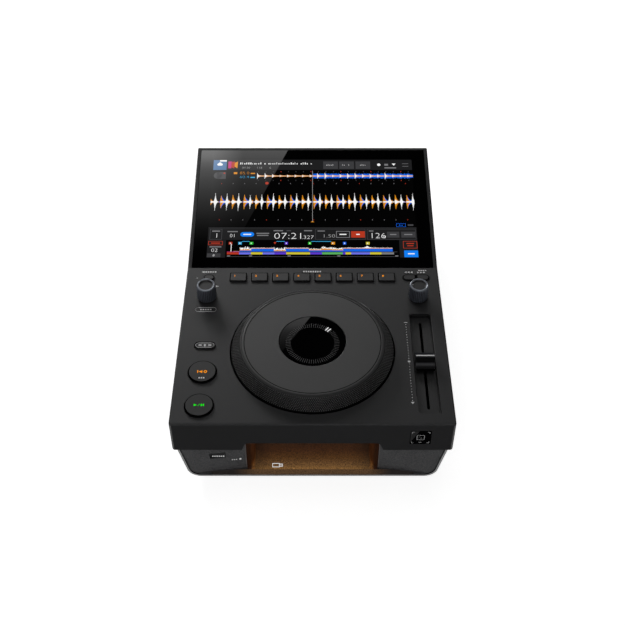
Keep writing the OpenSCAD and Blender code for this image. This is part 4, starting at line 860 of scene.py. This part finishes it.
# What repeats is made with Geometry Nodes: dots along a line, or studs and bars round an axis
def repeatTree(name, shape):
    tree = bpy.data.node_groups.new(name, "GeometryNodeTree")
    tree.interface.new_socket("Geometry", in_out="OUTPUT", socket_type="NodeSocketGeometry")
    sizes = ("lowRadius", "lowHeight", "highRadius", "highHeight", "lean", "long", "wide", "tall",
             "firstX", "firstY", "lastX", "lastY", "firstTurn")
    kinds = {"columns": "Int", "rows": "Int", **dict.fromkeys(sizes, "Float"), "material": "Material"}
    for key, kind in kinds.items():
        tree.interface.new_socket(key, in_out="INPUT", socket_type="NodeSocket" + kind)
    graph = Graph(tree)
    inputs = graph.node("NodeGroupInput")
    given = {key: inputs.part(key) for key in kinds}
    total = given["columns"] * given["rows"]
    row = graph.node("GeometryNodeMeshLine", None, {"Count": total})
    index = graph.node("GeometryNodeInputIndex")
    if shape == "dot":
        part = index / (total - 1)
        where = graph.xyz(given["firstX"] + part * (given["lastX"] - given["firstX"]),
                          given["firstY"] + part * (given["lastY"] - given["firstY"]), given["lowHeight"])
        turn = graph.xyz()
        item = graph.node("GeometryNodeMeshCircle", {"fill_type": "NGON"}, {"Vertices": 12, "Radius": given["wide"]})
    else:  # in rows up a cone, every other row half a step on
        level = graph.maths("FLOOR", index / given["columns"])
        place = index % given["columns"] + 0.5 * (level % 2)
        spin = place * (2 * pi) / given["columns"] + given["firstTurn"]
        part = (level + 0.5) / given["rows"]
        radius = given["lowRadius"] + part * (given["highRadius"] - given["lowRadius"])
        where = graph.xyz(radius * graph.maths("COSINE", spin) + given["firstX"],
                          radius * graph.maths("SINE", spin) + given["firstY"],
                          given["lowHeight"] + part * (given["highHeight"] - given["lowHeight"]))
        turn = graph.xyz(0.0, given["lean"], spin)
        if shape == "stud":
            item = graph.node("GeometryNodeMeshCone", {"fill_type": "NGON"}, {
                "Vertices": 4, "Radius Top": 0.3 * given["wide"], "Radius Bottom": given["wide"],
                "Depth": given["tall"]})
        else:
            size = graph.xyz(given["long"], given["wide"], given["tall"])
            item = graph.node("GeometryNodeMeshCube", None, {"Size": size})
    placed = graph.node("GeometryNodeSetPosition", None, {"Geometry": row, "Position": where})
    many = graph.node("GeometryNodeInstanceOnPoints", None, {"Points": placed, "Instance": item, "Rotation": turn})
    real = graph.node("GeometryNodeRealizeInstances", None, {"Geometry": many})
    worn = graph.node("GeometryNodeSetMaterial", None, {"Geometry": real, "Material": given["material"]})
    graph.node("NodeGroupOutput", None, {"Geometry": worn})
    return tree


def repeated(name, shape, sizes, finish, bodyName):
    holder = added(name + "_maker", bpy.data.meshes.new(name + "_maker"))
    modifier = holder.modifiers.new("repeat", "NODES")
    modifier.node_group = repeatTree(name + "_tree", shape)
    values = dict(sizes, material=plain[finish])
    for item in modifier.node_group.interface.items_tree:
        if item.in_out == "INPUT" and item.name in values:
            modifier[item.identifier] = values[item.name]
    holder.update_tag()
    mesh = evaluatedMesh(holder)
    holder.modifiers.remove(modifier)
    bpy.data.objects.remove(holder)
    mesh.name = name
    print(name, len(mesh.polygons), "faces")
    return dressed(name, mesh, finish, bodyName)


def lathe(name, profile, centre, finish, bodyName, steps=120):
    # the profile runs up the outside and then inwards, so the faces look outwards
    points, faces = [], []
    for i, (radius, z) in enumerate(profile):
        for j in range(steps):
            angle = 2 * pi * j / steps
            points.append(deckPoint(centre[0] + radius * cos(angle), centre[1] + radius * sin(angle), z))
            if i + 1 < len(profile):
                a, b = i * steps + j, i * steps + (j + 1) % steps
                faces.append([a, b, b + steps, a + steps])
    mesh = bpy.data.meshes.new(name)
    mesh.from_pydata(points, [], faces)
    mesh.shade_smooth()
    return dressed(name, mesh, finish, bodyName)


# the knurl of the grip: low and high are radius and height of the cone that the studs stand on
knurl = {"columns": 236, "rows": 9, "low": (77.2, 1.2), "high": (69.0, 11.3), "stud": 0.8, "tall": 0.55}
jogCentre = deckPoint(0, deckPlace["jogAxis"])
run, climb = knurl["low"][0] - knurl["high"][0], knurl["high"][1] - knurl["low"][1]
# the studs are light grey on a near black ring: painted highlights and painted shade
repeated("jog_knurl", "stud", {
    "columns": knurl["columns"], "rows": knurl["rows"], "firstX": jogCentre.x, "firstY": jogCentre.y,
    "lowRadius": knurl["low"][0] / 1000, "highRadius": knurl["high"][0] / 1000,
    "lowHeight": deckPoint(0, 0, knurl["low"][1]).z, "highHeight": deckPoint(0, 0, knurl["high"][1]).z,
    "lean": atan2(climb, run), "wide": knurl["stud"] / 1000, "tall": knurl["tall"] / 1000,
}, "stud", "jog")

# profiles of the turned trims, as radius and height
turned = {"trim": [(69.3, 11.0), (69.0, 11.8), (68.5, 12.3), (67.8, 12.5), (67.0, 12.53)],
          "groove": [(65.1, 12.515), (64.3, 12.515)],
          "button": [(13.34, 0.7), (13.26, 1.22), (13.1, 1.5), (12.88, 1.7), (12.6, 1.8), (12.3, 1.83)],
          "knob": [(8.9, 16.1), (8.9, 16.7), (8.65, 17.2), (8.25, 17.38), (7.85, 17.25), (7.55, 16.9), (7.5, 16.4)],
          "cue": (-103.0, 61.6), "play": (-103.0, 21.4)}
jogAxis = (0, deckPlace["jogAxis"])
lathe("jog_trim", turned["trim"], jogAxis, "trim", "jog", 240)
# a dark ring of painted shade in the jog's groove
lathe("jog_groove", turned["groove"], jogAxis, "gap", "jog", 240)
# dark rings of painted shade round the tops of the cue and play buttons
for name in ("cue", "play"):
    lathe(name + "_edge", turned["button"], turned[name], "gap", name + "_button_key", 96)
# a lip on each knob in light grey, a painted highlight
for side, name in ((-1, "browse"), (1, "adjust")):
    lathe(name + "_lip", turned["knob"], (side * knobLook["x"], knobLook["y"]), "lip", name, 72)

# the ring of marks in the round window, two of them lit; angles in degrees
windowTicks = {"count": 72, "inner": 20.6, "outer": 25.6, "width": 0.6, "thick": 0.02, "top": 12.1, "lift": 0.02,
               "first": 2.5, "lit": (46.9, 53.3), "litWidth": 1.1, "litLift": 0.06, "y": deckPlace["jogAxis"] - 3.2}
inner, outer, half = windowTicks["inner"], windowTicks["outer"], windowTicks["litWidth"] / 2
middle, height = (inner + outer) / 2000, deckPoint(0, 0, windowTicks["top"] + windowTicks["lift"]).z
repeated("window_ticks", "bar", {
    "columns": windowTicks["count"], "rows": 1, "firstX": 0.0, "firstY": deckPoint(0, windowTicks["y"]).y,
    "firstTurn": radians(windowTicks["first"]), "lowRadius": middle, "highRadius": middle,
    "lowHeight": height, "highHeight": height, "lean": 0.0, "long": (outer - inner) / 1000,
    "wide": windowTicks["width"] / 1000, "tall": windowTicks["thick"] / 1000,
}, "faintPrintAndGlare", "case")
litShapes = []
for angle in windowTicks["lit"]:
    ca, sa = cos(radians(angle)), sin(radians(angle))
    litShapes.append([(r * ca - t * sa, r * sa + t * ca) for r, t in bar(inner, -half, outer, half)])
flatPiece("window_lit_ticks", litShapes, onDeck(windowTicks["top"] + windowTicks["litLift"], 0, windowTicks["y"]),
          "lamp", "case", "black_glass")

faderDots = {"count": 29, "radius": 0.42, "x": 91.2, "first": 27.7, "last": 123.3}
start, end = (deckPoint(faderDots["x"], faderDots[k], printLift) for k in ("first", "last"))
repeated("fader_dots", "dot", {
    "columns": faderDots["count"], "rows": 1, "firstX": start.x, "firstY": start.y, "lastX": end.x, "lastY": end.y,
    "lowHeight": start.z, "wide": faderDots["radius"] / 1000,
}, "print", "case")


# The studio, in metres
studio = {"half": 4.0, "below": -0.0002, "wall": 3.9, "walls": 32, "floor": (0.9, 0.9, 0.9, 1),
          "cloud": (400.0, (0.87, 0.87, 0.87, 1)), "floorGlow": 0.84, "world": 0.002,
          "camera": (0.0, -559.976, 718.0), "down": 45.74, "lens": 58.41}


def stagePlate(name, points, material):
    mesh = bpy.data.meshes.new(name)
    mesh.from_pydata(points, [], [list(range(len(points)))])
    mesh.materials.append(material)
    plate = added(name, mesh)
    return plate


floorFinish = Finish("studio_floor")
grain, cloudColour = studio["cloud"]
floorFinish.surface(Base_Color=floorFinish.blend(floorFinish.noise(grain), studio["floor"], cloudColour),
                    Roughness=0.9, Emission_Color=(1, 1, 1, 1), Emission_Strength=studio["floorGlow"])
h, low = studio["half"], studio["below"]
floor = stagePlate("studio_floor", [(x, y, low) for x, y in block(0, 0, 2 * h, 2 * h)], floorFinish.material)
floor.visible_glossy = False  # keeps the upright faces as dark as in the photo
ring = disc(0, 0, studio["wall"], studio["walls"])
# a pale wall that only the camera sees
for k, ((x0, y0), (x1, y1)) in enumerate(zip(ring, ring[1:] + ring[:1])):
    wall = stagePlate("studio_wall_%d" % k, [(x0, y0, h), (x1, y1, h), (x1, y1, low), (x0, y0, low)],
                      floorFinish.material)
    wall.visible_glossy = wall.visible_diffuse = wall.visible_shadow = wall.visible_transmission = False

# two lit cards that the glass mirrors; their right edges run aslant; stops are (y, radiance)
cards = {"height": 1.5, "peak": 4.0,
         "screen": {"corners": [(-0.36, 0.735), (-0.233, 0.735), (-0.068, 1.091), (-0.056, 1.117), (-0.36, 1.117)],
                    "stops": [(0.75, 0.003), (0.785, 0.01), (0.814, 0.045), (0.844, 0.11), (0.874, 0.22),
                              (0.905, 0.4), (0.936, 0.6), (0.967, 0.85), (0.998, 1.2), (1.03, 1.7), (1.05, 2.3),
                              (1.071, 3.3), (1.1, 4.0)],
                    "side": (-0.27, -0.19, 0.45)},
         "window": {"corners": [(-0.5, 1.13), (-0.1, 1.13), (-0.006, 1.29), (0.05, 1.37), (-0.5, 1.37)],
                    "stops": [(1.13, 0.02), (1.15, 0.05), (1.18, 0.1), (1.2, 0.17), (1.222, 0.27), (1.235, 0.36),
                              (1.259, 0.72), (1.283, 0.83), (1.32, 1.2)],
                    "side": (-2.0, -1.9, 1.0)}}


def cardFinish(name, card):
    made = Finish(name)
    x, y, z = made.axes()
    low, high = card["stops"][0][0], card["stops"][-1][0]
    stops = [((place - low) / (high - low), shade((level / cards["peak"],) * 3, 1)) for place, level in card["stops"]]
    first, last, share = card["side"]
    shown = made.scaled(made.ramp(stops, made.mapped(y, low, high)), made.mapped(x, first, last, 1.0, share))
    lamp = made.node("ShaderNodeEmission", None, {"Color": shown, "Strength": cards["peak"]})
    made.node("ShaderNodeOutputMaterial", None, {"Surface": lamp})
    return made.material


for name in ("screen", "window"):
    points = [(x, y, cards["height"]) for x, y in cards[name]["corners"]][::-1]
    card = stagePlate("studio_card_" + name, points, cardFinish("studio_card_" + name, cards[name]))
    card.visible_camera = False

lamps = {"over": {"at": (0.0, 0.4, 2.2), "to": (0, 0, 0), "size": (2.0, 1.1), "power": 5},
         "back": {"at": (0.0, 2.1, 1.3), "to": (0, 0, 0.05), "size": (1.2, 0.5), "power": 5.8},
         "backLow": {"at": (-0.9, 1.7, 0.7), "to": (0, 0, 0.05), "size": (0.9, 0.4), "power": 18},
         "backRight": {"at": (1.2, 1.6, 1.4), "to": (0, 0, 0.05), "size": (0.8, 0.8), "power": 1},
         "left": {"at": (-1.7, -0.2, 0.6), "to": (0, 0, 0.05), "size": (0.8, 0.8), "power": 1.4},
         "fill": {"at": (0.0, -1.5, 0.9), "to": (0, 0, 0.05), "size": (1.6, 0.8), "power": 4.8}}
for name, lamp in lamps.items():
    light = bpy.data.lights.new("studio_" + name, "AREA")
    light.shape, light.energy = "RECTANGLE", lamp["power"]
    light.size, light.size_y = lamp["size"]
    holder = added("studio_" + name, light)
    holder.location = lamp["at"]
    holder.rotation_euler = (Vector(lamp["to"]) - Vector(lamp["at"])).to_track_quat("-Z", "Y").to_euler()

world = bpy.data.worlds.new("studio_world")
world.use_nodes = True
world.node_tree.nodes["Background"].inputs["Color"].default_value = (1, 1, 1, 1)
world.node_tree.nodes["Background"].inputs["Strength"].default_value = studio["world"]
bpy.context.scene.world = world

camera = bpy.data.cameras.new("photo_camera")
camera.lens, camera.sensor_width = studio["lens"], 36.0
viewer = added("photo_camera", camera)
viewer.location = deckPoint(*studio["camera"])
viewer.rotation_euler = (radians(90 - studio["down"]), 0, 0)
bpy.context.scene.camera = viewer
print("studio set")
